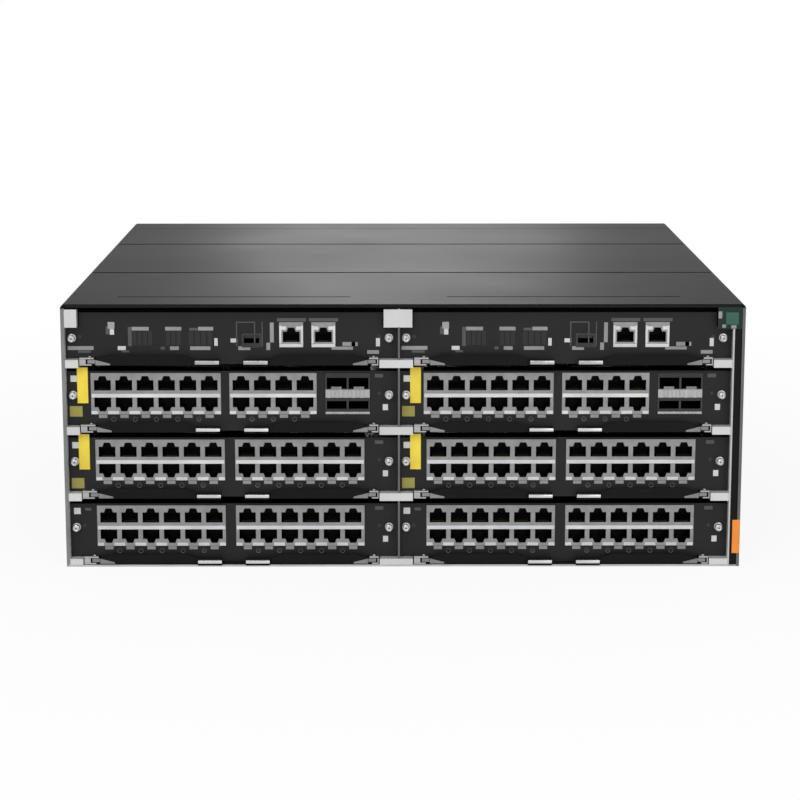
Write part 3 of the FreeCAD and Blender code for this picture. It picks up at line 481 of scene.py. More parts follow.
def makeLamps():
    for name, facts in lamps.items():
        lamp = bpy.data.lights.new(name, "AREA")
        lamp.shape = "SQUARE"
        lamp.size = facts["size"]
        lamp.energy = facts["power"]
        item = bpy.data.objects.new(name, lamp)
        item.location = facts["place"]
        aim = Vector(studio["target"]) - Vector(facts["place"])
        item.rotation_euler = aim.to_track_quat("-Z", "Y").to_euler()
        item.visible_camera = False
        bpy.context.collection.objects.link(item)


makeFloor()
makeSurround()
makeLamps()
bpy.context.scene.view_settings.view_transform = "Standard"
print("studio set")

# Sockets: gilt contacts, a stepped nose by the latch notch, bright shield rails and grounding tabs
contactCount = 8
socket = inMetres({
    "contactPitch": 1.02, "contactWidth": 0.42, "contactThick": 0.3, "contactStart": 2.4, "contactEnd": 9.5,
    "contactLift": 0.5, "contactRise": 2.6, "noseHalf": 3.0, "noseTall": 0.35, "noseStart": 0.3,
    "noseDeep": 9.0, "railTall": 2.5, "railProud": 0.25, "railInset": 0.4, "railRound": 0.1,
    "tabWidth": 7.2, "tabInset": 0.1, "tabTall": 2.3, "tabProud": 0.35, "tabRound": 0.15,
})


# Each socket is (middle across, its foot, 1 or -1 for the latch above or below)
def socketRows(label):
    low, high = boxOf(f"{label}_ports")
    edge = layout.shellBorder + layout.latchHeight
    for start, columns in blocksOf(label):
        first = moduleOrigin(label).x + start + shellSide + layout.portWidth / 2
        for column in range(columns):
            centre = first + column * layout.portPitch
            yield centre, low.z + edge, -1
            yield centre, high.z - edge - layout.portHeight, 1


def managerJacks(label):
    low, high = boxOf(f"{label}_ports")
    base = low.z + (layout.jackTall - layout.portHeight - layout.latchHeight) / 2
    second = high.x - layout.jackWidth / 2
    for centre in (second - layout.jackPitch, second):
        yield centre, base, 1


def addContacts(bm, centre, base, sense):
    foot = base if sense > 0 else base + layout.portHeight
    near = shellFront + socket.contactStart
    far = shellFront + socket.contactEnd
    for number in range(contactCount):
        across = centre + (number - (contactCount - 1) / 2) * socket.contactPitch
        place = Matrix.Translation((across, (near + far) / 2, foot + sense * socket.contactLift))
        shape = Matrix.Diagonal((socket.contactWidth, far - near, socket.contactThick, 1))
        made = bmesh.ops.create_cube(bm, size=1, matrix=place @ shape)
        deep = [vert for vert in made["verts"] if vert.co.y > (near + far) / 2]
        bmesh.ops.translate(bm, verts=deep, vec=(0, 0, sense * socket.contactRise))


def addNose(bm, centre, base, sense):
    edge = base + layout.portHeight if sense > 0 else base
    low, high = sorted((edge, edge - sense * socket.noseTall))
    for side in (-1, 1):
        left, right = reach(centre, side, socket.noseHalf, layout.portWidth / 2)
        addBlock(bm, (left, shellFront + socket.noseStart, low),
                 (right, shellFront + socket.noseDeep, high))


def addShieldRails(rails, tabs, label):
    low, high = boxOf(f"{label}_ports")
    middle = (low.z + high.z) / 2
    for start, columns in blocksOf(label):
        left = moduleOrigin(label).x + start
        right = left + columns * layout.portPitch + 2 * layout.shellWall
        rail = (left + socket.railInset, right - socket.railInset, middle - socket.railTall, middle)
        addPlates(rails, shellFront, socket.railProud, [rail], socket.railRound)
        for column in range(columns + 1):
            rib = left + layout.shellWall + column * layout.portPitch
            near = max(left + socket.tabInset, rib - socket.tabWidth / 2)
            far = min(right - socket.tabInset, rib + socket.tabWidth / 2)
            tab = (near, far, low.z + socket.tabInset, low.z + socket.tabTall)
            addPlates(tabs, shellFront, socket.tabProud, [tab], socket.tabRound)


def makeSockets():
    for label in cards + managers:
        contacts, noses = bmesh.new(), bmesh.new()
        for centre, base, sense in (socketRows if label in cards else managerJacks)(label):
            addContacts(contacts, centre, base, sense)
            addNose(noses, centre, base, sense)
        finishPiece(contacts, "_contacts", label, "goldContact")
        finishPiece(noses, "_socket_noses", label, "blackPlastic")
        if label in cards:
            rails, tabs = bmesh.new(), bmesh.new()
            addShieldRails(rails, tabs, label)
            finishPiece(rails, "_shield_rails", label, "brightTin")
            finishPiece(tabs, "_ground_tabs", label, "brightTin")


# Fibre cages: spring fingers across the middle and along the foot, dark lips, a latch flap in each
# upper opening and a connector deep in every one
cage = inMetres({
    "fingerWidth": 2.0, "fingerPitch": 2.72, "fingerProud": (0.5, 0.3), "fingerDrop": (0.0, 0.5),
    "fingerRound": 0.2, "sideInset": 0.3, "band": (-2.9, 2.5), "foot": (0.2, 1.7), "backProud": 0.12,
    "lipProud": 0.1,
    "middleBacks": ((0.3, -0.3, -2.7, 2.7),), "footBacks": ((0.3, -0.3, 0.1, 1.6),),
    "middleLips": ((0.3, -0.3, -4.9, -2.9),), "edgeLips": ((0.3, -0.3, -3.2, -0.2), (0.3, -0.3, 1.8, 3.6)),
    "flap": ((-3.4, -0.15, 2.6), (3.4, 0.3, 4.6)), "flapRound": 0.1, "openingAcross": 7.15, "openingUp": 7.4,
    "plug": ((-4.4, 30.0, -1.6), (4.4, 38.0, 1.2)), "plugRound": 0.3,
})


def addSpringFingers(bm, left, right, middle, foot):
    count = int((right - left) / cage.fingerPitch)
    start = (left + right - (count - 1) * cage.fingerPitch) / 2
    for number in range(count):
        ends = around(start + number * cage.fingerPitch, cage.fingerWidth)
        proud = cage.fingerProud[number % 3 == 0]
        drop = cage.fingerDrop[number % 2]
        band = (*ends, middle + cage.band[0] + drop, middle + cage.band[1])
        low = (*ends, foot + cage.foot[0], foot + cage.foot[1])
        addPlates(bm, shellFront, proud, (band, low), cage.fingerRound)


def makeCages():
    for label in uplinkCards:
        low, high = boxOf(f"{label}_cages")
        middle = (low.z + high.z) / 2
        near, far = Vector((low.x, shellFront, middle)), Vector((high.x, shellFront, middle))
        fingers = bmesh.new()
        addPlates(fingers, shellFront, cage.backProud,
                  placed(near, cage.middleBacks, far) + placed(low, cage.footBacks, high))
        addSpringFingers(fingers, low.x + cage.sideInset, high.x - cage.sideInset, middle, low.z)
        finishPiece(fingers, "_spring_fingers", label, "nickelShield")
        platePiece("_cage_lips", label, "bezelGrey", shellFront, cage.lipProud,
                   placed(near, cage.middleLips, far) + placed(low, cage.edgeLips, high))
        boxPiece("_latch_flaps", label, "edgePaint",
                 [near.lerp(far, share) for share in (0.25, 0.75)], cage.flap, cage.flapRound, 1)
        centre = near.lerp(far, 0.5)
        boxPiece("_cage_connectors", label, "chipEpoxy",
                 [centre + Vector((column * cage.openingAcross, 0, level * cage.openingUp))
                  for column in (-1, 1) for level in (-1, 1)], cage.plug, cage.plugRound, 1)


# Manager jacks: lit corners, a bright foot and frame
jack = inMetres({
    "proud": 0.3, "lampRound": 0.2, "trimRound": 0.15,
    "lamps": ((1.5, 4.6, -5.0, -2.7), (-4.6, -1.5, -5.0, -2.7)),
    "trim": ((0.2, -0.2, 0.2, 2.3), (0.1, 1.5, 2.5, -2.2), (-1.5, -0.1, 2.5, -2.2)),
})
# Memory stick socket: a dark bezel, and a tongue with four contacts
stick = inMetres({
    "bezel": ((0.1, 1.3, 0.1, 8.9), (11.3, 12.5, 0.1, 8.9), (1.3, 11.3, 0.1, 2.9), (1.3, 11.3, 7.8, 8.9)),
    "bezelProud": 0.25, "tongue": ((1.4, 1.2, 5.9), (11.2, 12.5, 7.7)), "tongueRound": 0.2,
    "pads": (2.7, 5.1, 7.5, 9.9), "pad": ((-0.5, 2.2, 5.8), (0.5, 9.0, 5.9)),
})


def makeJacks():
    for label in managers:
        low, high = boxOf(f"{label}_ports")
        lit, trim = bmesh.new(), bmesh.new()
        for centre, base, sense in managerJacks(label):
            left, right = around(centre, layout.jackWidth)
            near, far = Vector((left, shellFront, low.z)), Vector((right, shellFront, high.z))
            addPlates(lit, shellFront, jack.proud, placed(near, jack.lamps, far), jack.lampRound, 2)
            addPlates(trim, shellFront, jack.proud, placed(near, jack.trim, far), jack.trimRound)
        finishPiece(lit, "_jack_lamps", label, "brightTin")
        finishPiece(trim, "_jack_trim", label, "brightTin")
        corner = Vector((low.x, shellFront, low.z))
        platePiece("_usb_bezel", label, "bezelGrey", shellFront, stick.bezelProud,
                   placed(corner, stick.bezel))
        boxPiece("_usb_tongue", label, "chipEpoxy", [corner], stick.tongue,
                 stick.tongueRound)
        boxPiece("_usb_contacts", label, "goldContact",
                 [corner + Vector((across, 0, 0)) for across in stick.pads], stick.pad)


makeSockets()
makeCages()
makeJacks()
print("sockets, cages and jacks filled")

# Captive screws at both ends of every module, with a dark cross recess and a keyhole beside each, and a small
# bright disc on each head that is a painted highlight
screw = inMetres({
    "left": 3.9, "rightInset": 5.6, "cardRise": 25.6, "managerRise": 18.9, "shank": (2.2, 5.2),
    "collar": (2.75, 1.0), "collarRound": 0.2,    # round forms are (radius, length)
    "insets": ((0.6, -0.4), (0.3, 0.2)),          # the head's rim and dish: each inset and its move back
    "dome": (1.85, 0.3), "domeLead": 0.1, "domeShift": 0.2, "domeRound": 0.1,
    "cross": ((-0.9, 0.9, -0.2, 0.2), (-0.2, 0.2, -0.9, 0.9)), "crossLead": 0.2, "crossThick": 0.1,
    "hole": (1.15, 0.12), "holeRight": 5.2, "holeLeft": -6.4, "holeRise": 0.8,
})


def addScrew(bm, centre, front):
    middle = centre.y - screw.collar[1] / 2
    addRound(bm, (centre.x, middle, centre.z), *screw.collar, "Y", 32, screw.collarRound)
    face = frontCap(addRound(bm, (centre.x, (centre.y + front) / 2, centre.z), *screw.shank, "Y", 32))
    for inset, move in screw.insets:
        bmesh.ops.inset_individual(bm, faces=[face], thickness=inset)
        bmesh.ops.translate(bm, verts=face.verts, vec=(0, move, 0))


def makeScrews():
    for label in cards + managers:
        origin = moduleOrigin(label)
        farSide = boxOf(f"{label}_carrier")[1].x
        rise = screw.cardRise if label in cards else screw.managerRise
        heads, dark, bright = bmesh.new(), bmesh.new(), bmesh.new()
        for across, hole in ((origin.x + screw.left, screw.holeRight),
                             (farSide - screw.rightInset, screw.holeLeft)):
            centre = Vector((across, faceFront, origin.z + rise))
            front = faceFront - screw.shank[1]
            addScrew(heads, centre, front)
            addPlates(dark, front - screw.crossLead, screw.crossThick, placed(centre, screw.cross))
            # A small bright disc just left of the head's middle: a painted highlight
            dome = (across - screw.domeShift, front - screw.domeLead, centre.z)
            addRound(bright, dome, *screw.dome, "Y", 24, screw.domeRound)
            keyhole = (across + hole, faceFront - screw.hole[1] / 2, centre.z + screw.holeRise)
            addRound(dark, keyhole, *screw.hole, "Y", 16)
        finishPiece(heads, "_screws", label, "steelScrew", smooth=True)
        finishPiece(bright, "_screw_painted_highlights", label, "brightTin", smooth=True)
        finishPiece(dark, "_screw_slots", label, "chipEpoxy")


makeScrews()
print("captive screws placed")

# Levers: ribbed metal grips, root clips, and a plated cap with a rivet over each ear
lever = inMetres({
    "hubRadius": 2.6, "grip": 15.8, "gripDeep": 4.3, "cardGrip": 3.3, "managerGrip": 3.7, "gripRound": 0.3,
    "ribs": (2.2, 5.05, 7.9, 10.75, 13.6), "rib": ((-0.35, 0.6, -0.1), (0.35, 3.8, 0.1)), "ribRound": 0.05,
    "clip": (4.0, 13.5), "clipUp": (0.3, 3.7), "clipProud": 0.3, "clipTaper": 2.4,
    "hub": (-1.2, 3.7), "hubUp": (1.45, 3.75), "hubProud": 0.2,
    "earTop": 6.6, "earFront": 0.4, "earBack": 6.5, "earSheet": 0.25, "earLeft": 6.5, "earRight": 3.0,
    "capInner": 3.0, "capUp": (-0.9, 0.2), "capRound": 0.15, "stripRound": 0.08,
    "rivet": 1.5, "rivetTop": 0.9, "rivetTall": 0.7, "rivetRise": 0.5,
    # strips on the ear's front: how far beside the pivot, and two levels under the ear's top
    "strips": ((1.4, -5.0, -4.1), (-2.3, -4.05, -0.95)),
})


def addGrip(bm, corner, tall):
    addBox(bm, corner, ((0, 0, 0), (lever.grip, lever.gripDeep, tall)), lever.gripRound)
    for across in lever.ribs:
        addBox(bm, corner + Vector((across, 0, tall)), lever.rib, lever.ribRound, 1)


# A clip that tapers away from the pivot, and the plate on the hub
def addRootClip(bm, pivot, sense, base, front):
    near, far = reach(pivot, sense, *lever.clip)
    verts = addBlock(bm, (near, front - lever.clipProud, base + lever.clipUp[0]),
                     (far, front, base + lever.clipUp[1]))
    upper = [vert for vert in verts if sense * (vert.co.x - pivot) > sum(lever.clip) / 2
             and vert.co.z > base + sum(lever.clipUp) / 2]
    bmesh.ops.translate(bm, verts=upper, vec=(0, 0, -lever.clipTaper))
    plate = (*reach(pivot, sense, *lever.hub), base + lever.hubUp[0], base + lever.hubUp[1])
    addPlates(bm, front, lever.hubProud, [plate])


def addEarCap(bm, pivot, sense, top):
    plane = frontPlane + lever.earFront
    outer = lever.earLeft if sense > 0 else lever.earRight
    left, right = reach(pivot, sense, -outer, lever.capInner)
    addBlock(bm, (left, plane - lever.earSheet, top + lever.capUp[0]),
             (right, frontPlane + lever.earBack, top + lever.capUp[1]), lever.capRound, 1)
    for inner, low, high in lever.strips:
        strip = (*reach(pivot, sense, -outer, inner), top + low, top + high)
        addPlates(bm, plane, lever.earSheet, [strip], lever.stripRound)
    addRound(bm, (pivot, frontPlane + layout.pivotBack, top + lever.rivetRise), lever.rivet, lever.rivetTall,
             "Z", 20, farRadius=lever.rivetTop)


def makeLeverParts():
    armFront = frontPlane + layout.pivotBack - lever.hubRadius
    for label in cards + managers:
        gripTall, gripFinish = ("cardGrip", "zincPlate") if label in cards else ("managerGrip", "steelScrew")
        top = moduleOrigin(label).z + lever.earTop
        for side, sense in (("left", 1), ("right", -1)):
            node = f"{label}_lever_{side}"
            low, high = boxOf(node)
            pivot = low.x + lever.hubRadius if sense > 0 else high.x - lever.hubRadius
            start = high.x - lever.grip if sense > 0 else low.x
            grip = bmesh.new()
            addGrip(grip, Vector((start, low.y, low.z)), lever[gripTall])
            finishPiece(grip, "_grip", node, gripFinish, smooth=True)
            clip = bmesh.new()
            addRootClip(clip, pivot, sense, low.z, armFront)
            finishPiece(clip, "_root_clip", node, "rootGrey")
            cap = bmesh.new()
            addEarCap(cap, pivot, sense, top)
            finishPiece(cap, f"{node}_ear_cap", label, "nickelShield", smooth=True)


makeLeverParts()
print("lever parts placed")

# Light pipes and printed marks. Marks are measured from the module's own corner, in millimetres.
markThick = 0.12 * mm
lensSegments = 20
pipe = inMetres({"rim": (1.7, 0.3), "hole": 1.224, "glass": (1.19, 0.2), "rise": 9.3, "dashWidth": 5.4,
                 "dashLow": 10.1, "dashHigh": 12.3})
cardMarks = {
    "_marks": ("printInkFaint", ((201.2, 206.6, 37.0, 39.4), (9.6, 13.6, 36.6, 38.4))),
    "_lock_marks": ("printInkBright", ((2.2, 6.6, 34.2, 38.4), (206.4, 209.8, 15.2, 19.2))),
}


def addMarks(label, marks):
    for name, (finish, rows) in marks.items():
        platePiece(name, label, finish, faceFront, markThick,
                   placed(moduleOrigin(label), inMetres(rows)))


def makeCardMarks():
    for label in cards:
        origin = moduleOrigin(label)
        rims, glass, dashes = bmesh.new(), bmesh.new(), bmesh.new()
        for start, columns in blocksOf(label):
            left = origin.x + start + layout.shellWall
            for column in range(columns):
                middle = left + (column + 0.5) * layout.portPitch
                dash = (*around(middle, pipe.dashWidth), origin.z + pipe.dashLow, origin.z + pipe.dashHigh)
                addPlates(dashes, faceFront, markThick, [dash])
            for rib in range(1, columns):
                across, up = left + rib * layout.portPitch, origin.z + pipe.rise
                addRing(rims, (across, faceFront - pipe.rim[1] / 2, up), *pipe.rim, pipe.hole, lensSegments)
                addRound(glass, (across, faceFront - pipe.glass[1] / 2, up), *pipe.glass, "Y", lensSegments)
        finishPiece(rims, "_lens_rims", label, "printInkFaint")
        finishPiece(glass, "_lenses", label, "darkLens")
        finishPiece(dashes, "_light_pipes", label, "printInk")
        addMarks(label, cardMarks)


managerMarks = {
    "_marks": ("printInk", (
        (43.0, 54.0, 23.7, 26.1), (64.7, 75.2, 23.7, 26.1), (86.2, 96.0, 23.7, 26.1),
        (67.6, 73.4, 10.8, 13.2), (80.8, 94.0, 10.8, 13.2), (112.2, 120.0, 10.8, 13.2),
        (0.9, 17.8, 10.9, 13.4), (132.9, 135.4, 15.8, 28.9), (130.5, 133.0, 10.8, 15.6),
        (196.3, 204.0, 8.2, 10.6), (180.2, 190.0, 13.4, 16.0), (173.0, 187.0, 11.0, 13.0))),
    "_faint_marks": ("printInkFaint", (
        (40.4, 42.8, 13.4, 26.1), (26.0, 28.4, 21.2, 26.4), (7.6, 16.0, 9.0, 10.6), (36.0, 41.0, 9.2, 10.6),
        (110.8, 111.5, 13.4, 29.5), (122.6, 123.3, 13.4, 29.5), (111.6, 122.5, 28.8, 29.5),
        (127.6, 128.2, 13.4, 29.5), (80.4, 85.8, 23.7, 25.4), (61.6, 64.2, 11.0, 13.0),
        (137.6, 156.4, 29.6, 31.8), (158.4, 177.4, 29.6, 31.8))),
    "_bright_marks": ("printInkBright", (
        (28.6, 31.4, 21.0, 26.4), (33.6, 38.8, 10.8, 13.4), (96.6, 98.8, 13.6, 18.6),
        (107.2, 111.6, 15.8, 18.4), (202.0, 204.6, 13.2, 18.6), (186.0, 188.6, 13.4, 16.0))),
}
# A black strip along each manager faceplate's top edge: painted shade of the gap under the cover's lip
topShade = inMetres(((0.5, -0.5, -1.5, -0.1),))
topShadeThick = 0.3 * mm
window = inMetres({"low": 13.9, "high": 23.2, "thick": 0.2})
windowRows = ((42.9 * mm, 56.4 * mm, 4), (64.7 * mm, 75.2 * mm, 3), (79.4 * mm, 95.8 * mm, 4))
windowShare = 0.8        # of each window's pitch


def makeManagerMarks():
    for label in managers:
        addMarks(label, managerMarks)
        origin = moduleOrigin(label)
        low, high = boxOf(f"{label}_carrier")
        # The black strip on the faceplate's top edge is painted shade
        platePiece("_top_painted_shade", label, "gapBlack", faceFront, topShadeThick,
                   placed(low, topShade, high))
        windows = []
        for left, right, count in windowRows:
            pitch = (right - left) / count
            for number in range(count):
                ends = around(left + (number + 0.5) * pitch, pitch * windowShare)
                windows.append((*ends, window.low, window.high))
        platePiece("_windows", label, "darkLens", faceFront, window.thick,
                   placed(origin, windows))


makeCardMarks()
makeManagerMarks()
print("marks and light pipes placed")

# Colour fields: yellow strips and olive patches on the upper two card rows, from the module's corner
field = inMetres({
    "strip": ((6.5, 13.6, 20.0, 43.9),), "stripThick": 0.7, "stripRound": 0.2,
    "uplinkPatch": ((1.2, 9.6, 11.0, 18.0),), "cardPatch": ((1.2, 9.6, 7.2, 14.2),),
    "patchThick": 0.3, "patchRound": 0.1,
})
# The dark plate with its green tab and marks at the upper right, and the orange tag below, from the walls
badge = inMetres({
    "plate": ((-18.0, -2.2, -16.4, -2.0),), "plateThick": 0.3, "plateRound": 0.1,
    "tab": ((-12.8, -4.6, -13.4, -5.4),), "tabThick": 0.3, "tabRound": 0.12,
    "marks": ((-17.8, -15.4, -9.4, -4.8), (-15.2, -12.8, -15.6, -13.4), (-9.4, -6.0, -16.0, -13.8)),
    "markThick": 0.2, "markRound": 0.08,
    "tag": ((-5.2, -0.2, 9.0, 31.5),), "tagBack": 1.0, "tagThick": 1.5, "tagRound": 0.25,
})
lowerLeft = Vector((leftWall, frontPlane, 0))
upperRight = Vector((rightWall, frontPlane, topPlane))


def makeColourFields():
    for label in cards[:4]:
        origin = moduleOrigin(label)
        platePiece("_yellow_strip", label, "yellowStrip", faceFront,
                   field.stripThick, placed(origin, field.strip), field.stripRound, 2)
        patch = field.uplinkPatch if label in uplinkCards else field.cardPatch
        platePiece("_olive_patch", label, "olivePatch", faceFront, field.patchThick,
                   placed(origin, patch), field.patchRound)


def casePiece(name, finish, plane, thick, plates, rounding, segments=1):
    platePiece(name, "chassis", finish, plane, thick, placed(lowerLeft, plates, upperRight), rounding,
               segments)


def makeBadges():
    front = frontPlane - badge.plateThick
    casePiece("corner_plate", "darkGreen", frontPlane, badge.plateThick, badge.plate,
              badge.plateRound)
    casePiece("green_tab", "greenTab", front, badge.tabThick, badge.tab, badge.tabRound, 2)
    casePiece("corner_marks", "printInk", front, badge.markThick, badge.marks,
              badge.markRound)
    casePiece("orange_tag", "orangeTag", frontPlane + badge.tagBack, badge.tagThick,
              badge.tag, badge.tagRound, 2)


# Case details: bright sill and edge strip, upright edges, a grey strip of painted highlight on the trim's
# outer edge and a black strip of painted shade under the cover's lip, from the walls, and the case's screws
rowCount = 4
casing = inMetres({
    "bright": ((1.5, -7.0, 0.02, 1.35), (-7.9, -6.75, 1.6, -16.0)), "brightProud": 0.3, "brightRound": 0.1,
    "middle": 219.5, "middleWidth": 1.3, "middleProud": 0.2, "middleFoot": 5.3, "middleGap": 0.1,
    "middleTop": 17.6,
    "outer": ((-2.0, -0.05, 0.3, -2.6),), "border": ((0.05, 2.35, 1.6, -3.0),), "edgeProud": 0.25,
    "edgeRound": 0.08, "seal": ((4.0, -8.0, -3.4, -1.4),), "sealBack": 5.0, "sealDeep": 3.6, "sealRound": 0.3,
    "head": (2.6, 0.3), "headRound": 0.08, "sideSink": 0.18, "sideDrop": 7.5, "topSink": 0.16,
    "topInset": 8.0, "slotShift": 0.06, "slot": ((-0.03, -1.5, -0.3), (0.03, 1.5, 0.3)),
})
sideScrews = (0.12, 0.37, 0.63, 0.9)        # shares of the depth
topScrews = (-0.44, -0.15, 0.15, 0.44)      # shares of the width


def makeEdges():
    casePiece("sill_and_edge", "edgeMetal", frontPlane, casing.brightProud, casing.bright,
              casing.brightRound)
    edges = bmesh.new()
    ends = around(leftWall + casing.middle, casing.middleWidth)
    for level in range(rowCount):
        gap = casing.middleGap if level < rowCount - 1 else casing.middleTop
        upright = (*ends, level * layout.slot + casing.middleFoot, (level + 1) * layout.slot - gap)
        addPlates(edges, frontPlane, casing.middleProud, [upright])
    # The grey strip down the right trim's outer edge is a painted highlight on its rounded edge; the middle
    # uprights are real metal edges
    outer = placed(lowerLeft, casing.outer, upperRight)
    addPlates(edges, frontPlane, casing.edgeProud, outer, casing.edgeRound)
    finishPiece(edges, "upright_edges_and_trim_highlight", "chassis", "edgeGrey")
    casePiece("left_border", "edgePaint", frontPlane, casing.edgeProud, casing.border,
              casing.edgeRound)
    # The black strip behind the front, under the cover's lip, is painted shade
    casePiece("cover_seal", "gapBlack", frontPlane + casing.sealBack, casing.sealDeep,
              casing.seal, casing.sealRound)


def makeCaseScrews():
    screws, slots = bmesh.new(), bmesh.new()
    for side, wall in ((-1, leftWall), (1, rightWall)):
        for share in sideScrews:
            place = Vector((wall, frontPlane + share * (rearPlane - frontPlane), topPlane - casing.sideDrop))
            addRound(screws, place - Vector((side * casing.sideSink, 0, 0)), *casing.head, "X", 28,
                     casing.headRound)
            addBox(slots, place - Vector((side * casing.slotShift, 0, 0)), casing.slot)
    for share in topScrews:
        place = (share * (rightWall - leftWall), rearPlane - casing.topInset, topPlane - casing.topSink)
        addRound(screws, place, *casing.head, "Z", 28, casing.headRound)
    finishPiece(screws, "case_screws", "chassis", "steelScrew", smooth=True)
    finishPiece(slots, "case_screw_slots", "chassis", "chipEpoxy")


makeColourFields()
makeBadges()
makeEdges()
makeCaseScrews()
print("colour fields and case details placed")

# Boards: chips, ceramic parts, capacitors and the fins that stand on the heat sink base
boardCounts = {"fins": 15, "columns": 6, "rows": 5, "ceramics": 4}
firstSeed = 40
chipChance, canChance = 0.3, 0.3      # the rest are ceramic parts
board = inMetres({
    "finTall": 13.0, "finThick": 0.9, "finRound": 0.15, "sink": 60.0, "sinkBase": 4.0, "sinkBack": 138.5,
    "sinkEdge": 1.0, "sinkRoom": 42.0, "left": 20.0, "columnPitch": 33.5, "acrossPlay": 3.0,
    "start": 60.0, "rowPitch": 42.0, "alongPlay": 5.0, "chipHalves": (5.0, 6.5, 8.0), "chipTall": 2.0,
    "chipRound": 0.2, "leadOut": 0.9, "leadIn": 0.6, "leadTall": 0.35, "leadRound": 0.1,
    "can": (3.6, 9.0), "canRound": 0.4,
    "ceramicPitch": 2.6, "ceramicWidth": 1.3, "ceramicLong": 2.4, "ceramicTall": 1.0,
})


def makeFins(label, middle, sinkMiddle, top):
    fins = bmesh.new()
    deep = board.sink / 2 - board.sinkEdge
    foot = top + board.sinkBase
    for number in range(boardCounts["fins"]):
        share = number / (boardCounts["fins"] - 1) - 0.5
        across = middle + share * (board.sink - 3 * board.sinkEdge)
        left, right = around(across, board.finThick)
        addBlock(fins, (left, sinkMiddle - deep, foot), (right, sinkMiddle + deep, foot + board.finTall),
                 board.finRound, 1)
    finishPiece(fins, "_fins", label, "heatSinkMetal")


def addChip(chips, leads, across, along, top, half):
    out, inward = half + board.leadOut, half - board.leadIn
    body = top + board.leadTall
    addBlock(leads, (across - out, along - inward, top), (across + out, along + inward, body),
             board.leadRound, 1)
    addBlock(chips, (across - half, along - half, body), (across + half, along + half, top + board.chipTall),
             board.chipRound, 1)


def makeBoards():
    for index, label in enumerate(cards + managers):
        low, high = boxOf(f"{label}_board")
        top = moduleOrigin(label).z + layout.boardTop
        chance = random.Random(firstSeed + index)
        middle = (low.x + high.x) / 2
        sinkMiddle = frontPlane + board.sinkBack
        makeFins(label, middle, sinkMiddle, top)
        chips, leads, cans = bmesh.new(), bmesh.new(), bmesh.new()
        for column in range(boardCounts["columns"]):
            for row in range(boardCounts["rows"]):
                shift = chance.uniform(-board.acrossPlay, board.acrossPlay)
                across = low.x + board.left + column * board.columnPitch + shift
                shift = chance.uniform(-board.alongPlay, board.alongPlay)
                along = frontPlane + board.start + row * board.rowPitch + shift
                if max(abs(across - middle), abs(along - sinkMiddle)) < board.sinkRoom:
                    continue
                kind = chance.random()
                if kind < chipChance:
                    addChip(chips, leads, across, along, top, chance.choice(board.chipHalves))
                elif kind < chipChance + canChance:
                    place = (across, along, top + board.can[1] / 2)
                    addRound(cans, place, *board.can, "Z", 24, board.canRound)
                else:
                    for step in range(boardCounts["ceramics"]):
                        left = across + step * board.ceramicPitch
                        addBlock(leads, (left, along, top),
                                 (left + board.ceramicWidth, along + board.ceramicLong,
                                  top + board.ceramicTall), board.leadRound, 1)
        finishPiece(chips, "_chips", label, "chipEpoxy")
        finishPiece(leads, "_small_parts", label, "ceramicPart")
        finishPiece(cans, "_capacitors", label, "capacitorSleeve", smooth=True)


makeBoards()
print("boards populated")

# Fan drawer: wire guards and hub discs on the fans, and thumb screws
# The guard's rings, and each bar's middle and length, as shares of the guard's radius
guardRings, guardBar = (0.36, 0.54, 0.72, 0.9), (0.6468, 0.6664)
barAngles = (45, 135, 225, 315)
thumbShares = (0.12, 0.88)      # of the tray's height
fan = inMetres({
    "wire": 0.9, "guardRadius": 52.0, "ringBack": 0.6, "barBack": 1.3, "barDeep": 0.8, "barWide": 1.0,
    "disc": (16.0, 0.6), "discRound": 0.2, "thumb": (3.4, 6.0), "thumbTip": (2.72, 1.2), "thumbInset": 6.5,
    "thumbRound": 0.4,
})


def addTube(bm, centre, radius, wire):
    place = Matrix.Translation(Vector(centre) + Vector((radius, 0, 0)))
    made = bmesh.ops.create_circle(bm, cap_ends=False, segments=6, radius=wire / 2, matrix=place)
    bmesh.ops.spin(bm, geom=edgesOf(made["verts"]), cent=centre, axis=(0, 1, 0), dvec=(0, 0, 0),
                   angle=math.tau, steps=40, use_merge=True, use_duplicate=False)


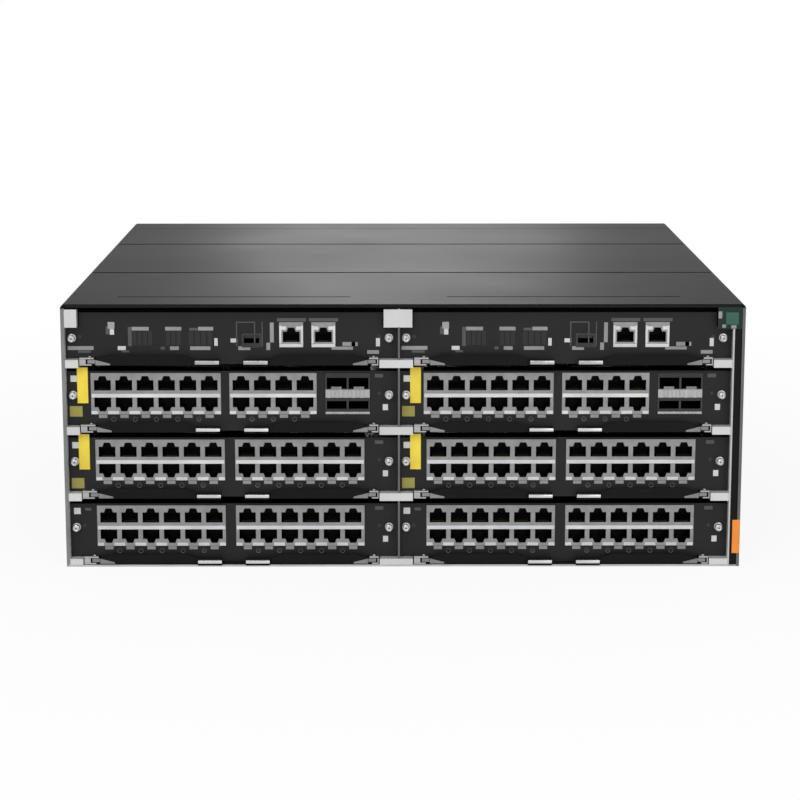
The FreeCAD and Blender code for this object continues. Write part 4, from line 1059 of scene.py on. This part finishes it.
def makeFanGuards():
    for number in (1, 2, 3):
        low, high = boxOf(f"fan_rotor_{number}")
        centre = (low + high) / 2
        guard = bmesh.new()
        for share in guardRings:
            addTube(guard, (centre.x, rearPlane + fan.ringBack, centre.z), fan.guardRadius * share, fan.wire)
        middle, long = [share * fan.guardRadius for share in guardBar]
        for angle in barAngles:
            place = Matrix.Translation((centre.x, rearPlane + fan.barBack, centre.z))
            turn = Matrix.Rotation(math.radians(angle), 4, "Y") @ Matrix.Translation((middle, 0, 0))
            shape = Matrix.Diagonal((long, fan.barDeep, fan.barWide, 1))
            bmesh.ops.create_cube(guard, size=1, matrix=place @ turn @ shape)
        finishPiece(guard, f"fan_{number}_guard", "fan_drawer", "zincPlate", smooth=True)
        disc = bmesh.new()
        addRound(disc, (centre.x, high.y + fan.disc[1] / 2, centre.z), *fan.disc, "Y", 40, fan.discRound)
        finishPiece(disc, f"fan_{number}_hub_disc", f"fan_rotor_{number}", "greyPlastic")


def makeThumbScrews():
    low, high = boxOf("fan_tray")
    thumbs = bmesh.new()
    long, tip = fan.thumb[1], fan.thumbTip[1]
    for side in (-1, 1):
        for share in thumbShares:
            across = (high.x - fan.thumbInset) * side
            up = low.z + share * (high.z - low.z)
            addRound(thumbs, (across, rearPlane + long / 2, up), *fan.thumb, "Y", 18, fan.thumbRound)
            addRound(thumbs, (across, rearPlane + long + tip / 2, up), *fan.thumbTip, "Y", 18)
    finishPiece(thumbs, "fan_thumb_screws", "fan_drawer", "steelScrew", smooth=True)


# Power supplies: pins and a rim at each inlet, and a lamp
supply = inMetres({
    "inlet": 21.5, "pins": ((-7.0, 0, -1.5), (0.0, 0, 2.5), (7.0, 0, -1.5)),
    "pin": ((-1.0, -15.9, -2.0), (1.0, -6.9, 2.0)), "pinRound": 0.3, "rimProud": 0.9, "rimRound": 0.2,
    "rim": ((-15.5, -13.7, -11.4, 11.4), (13.7, 15.5, -11.4, 11.4), (-13.7, 13.7, 9.7, 11.4),
            (-13.7, 13.7, -11.4, -9.7)),
    "lampAcross": 43.5, "lampDrop": 5.5, "lampRadius": 1.5, "lampThick": 0.6, "lampRound": 0.15,
})


def makeSupplyDetails():
    for label in ("supply_1", "supply_2"):
        low, high = boxOf(f"{label}_housing")
        inlet = Vector((low.x + supply.inlet, rearPlane, (low.z + high.z) / 2))
        boxPiece("_pins", label, "zincPlate",
                 [inlet + Vector(shift) for shift in supply.pins], supply.pin, supply.pinRound)
        platePiece("_inlet_rim", label, "blackPlastic", rearPlane + supply.rimProud,
                   supply.rimProud, placed(inlet, supply.rim), supply.rimRound)
        lamp = bmesh.new()
        centre = (low.x + supply.lampAcross, rearPlane + supply.lampThick / 2, high.z - supply.lampDrop)
        addRound(lamp, centre, supply.lampRadius, supply.lampThick, "Y", 20, supply.lampRound)
        finishPiece(lamp, "_lamp", label, "lampGreen")


makeFanGuards()
makeThumbScrews()
makeSupplyDetails()
print("rear details placed")
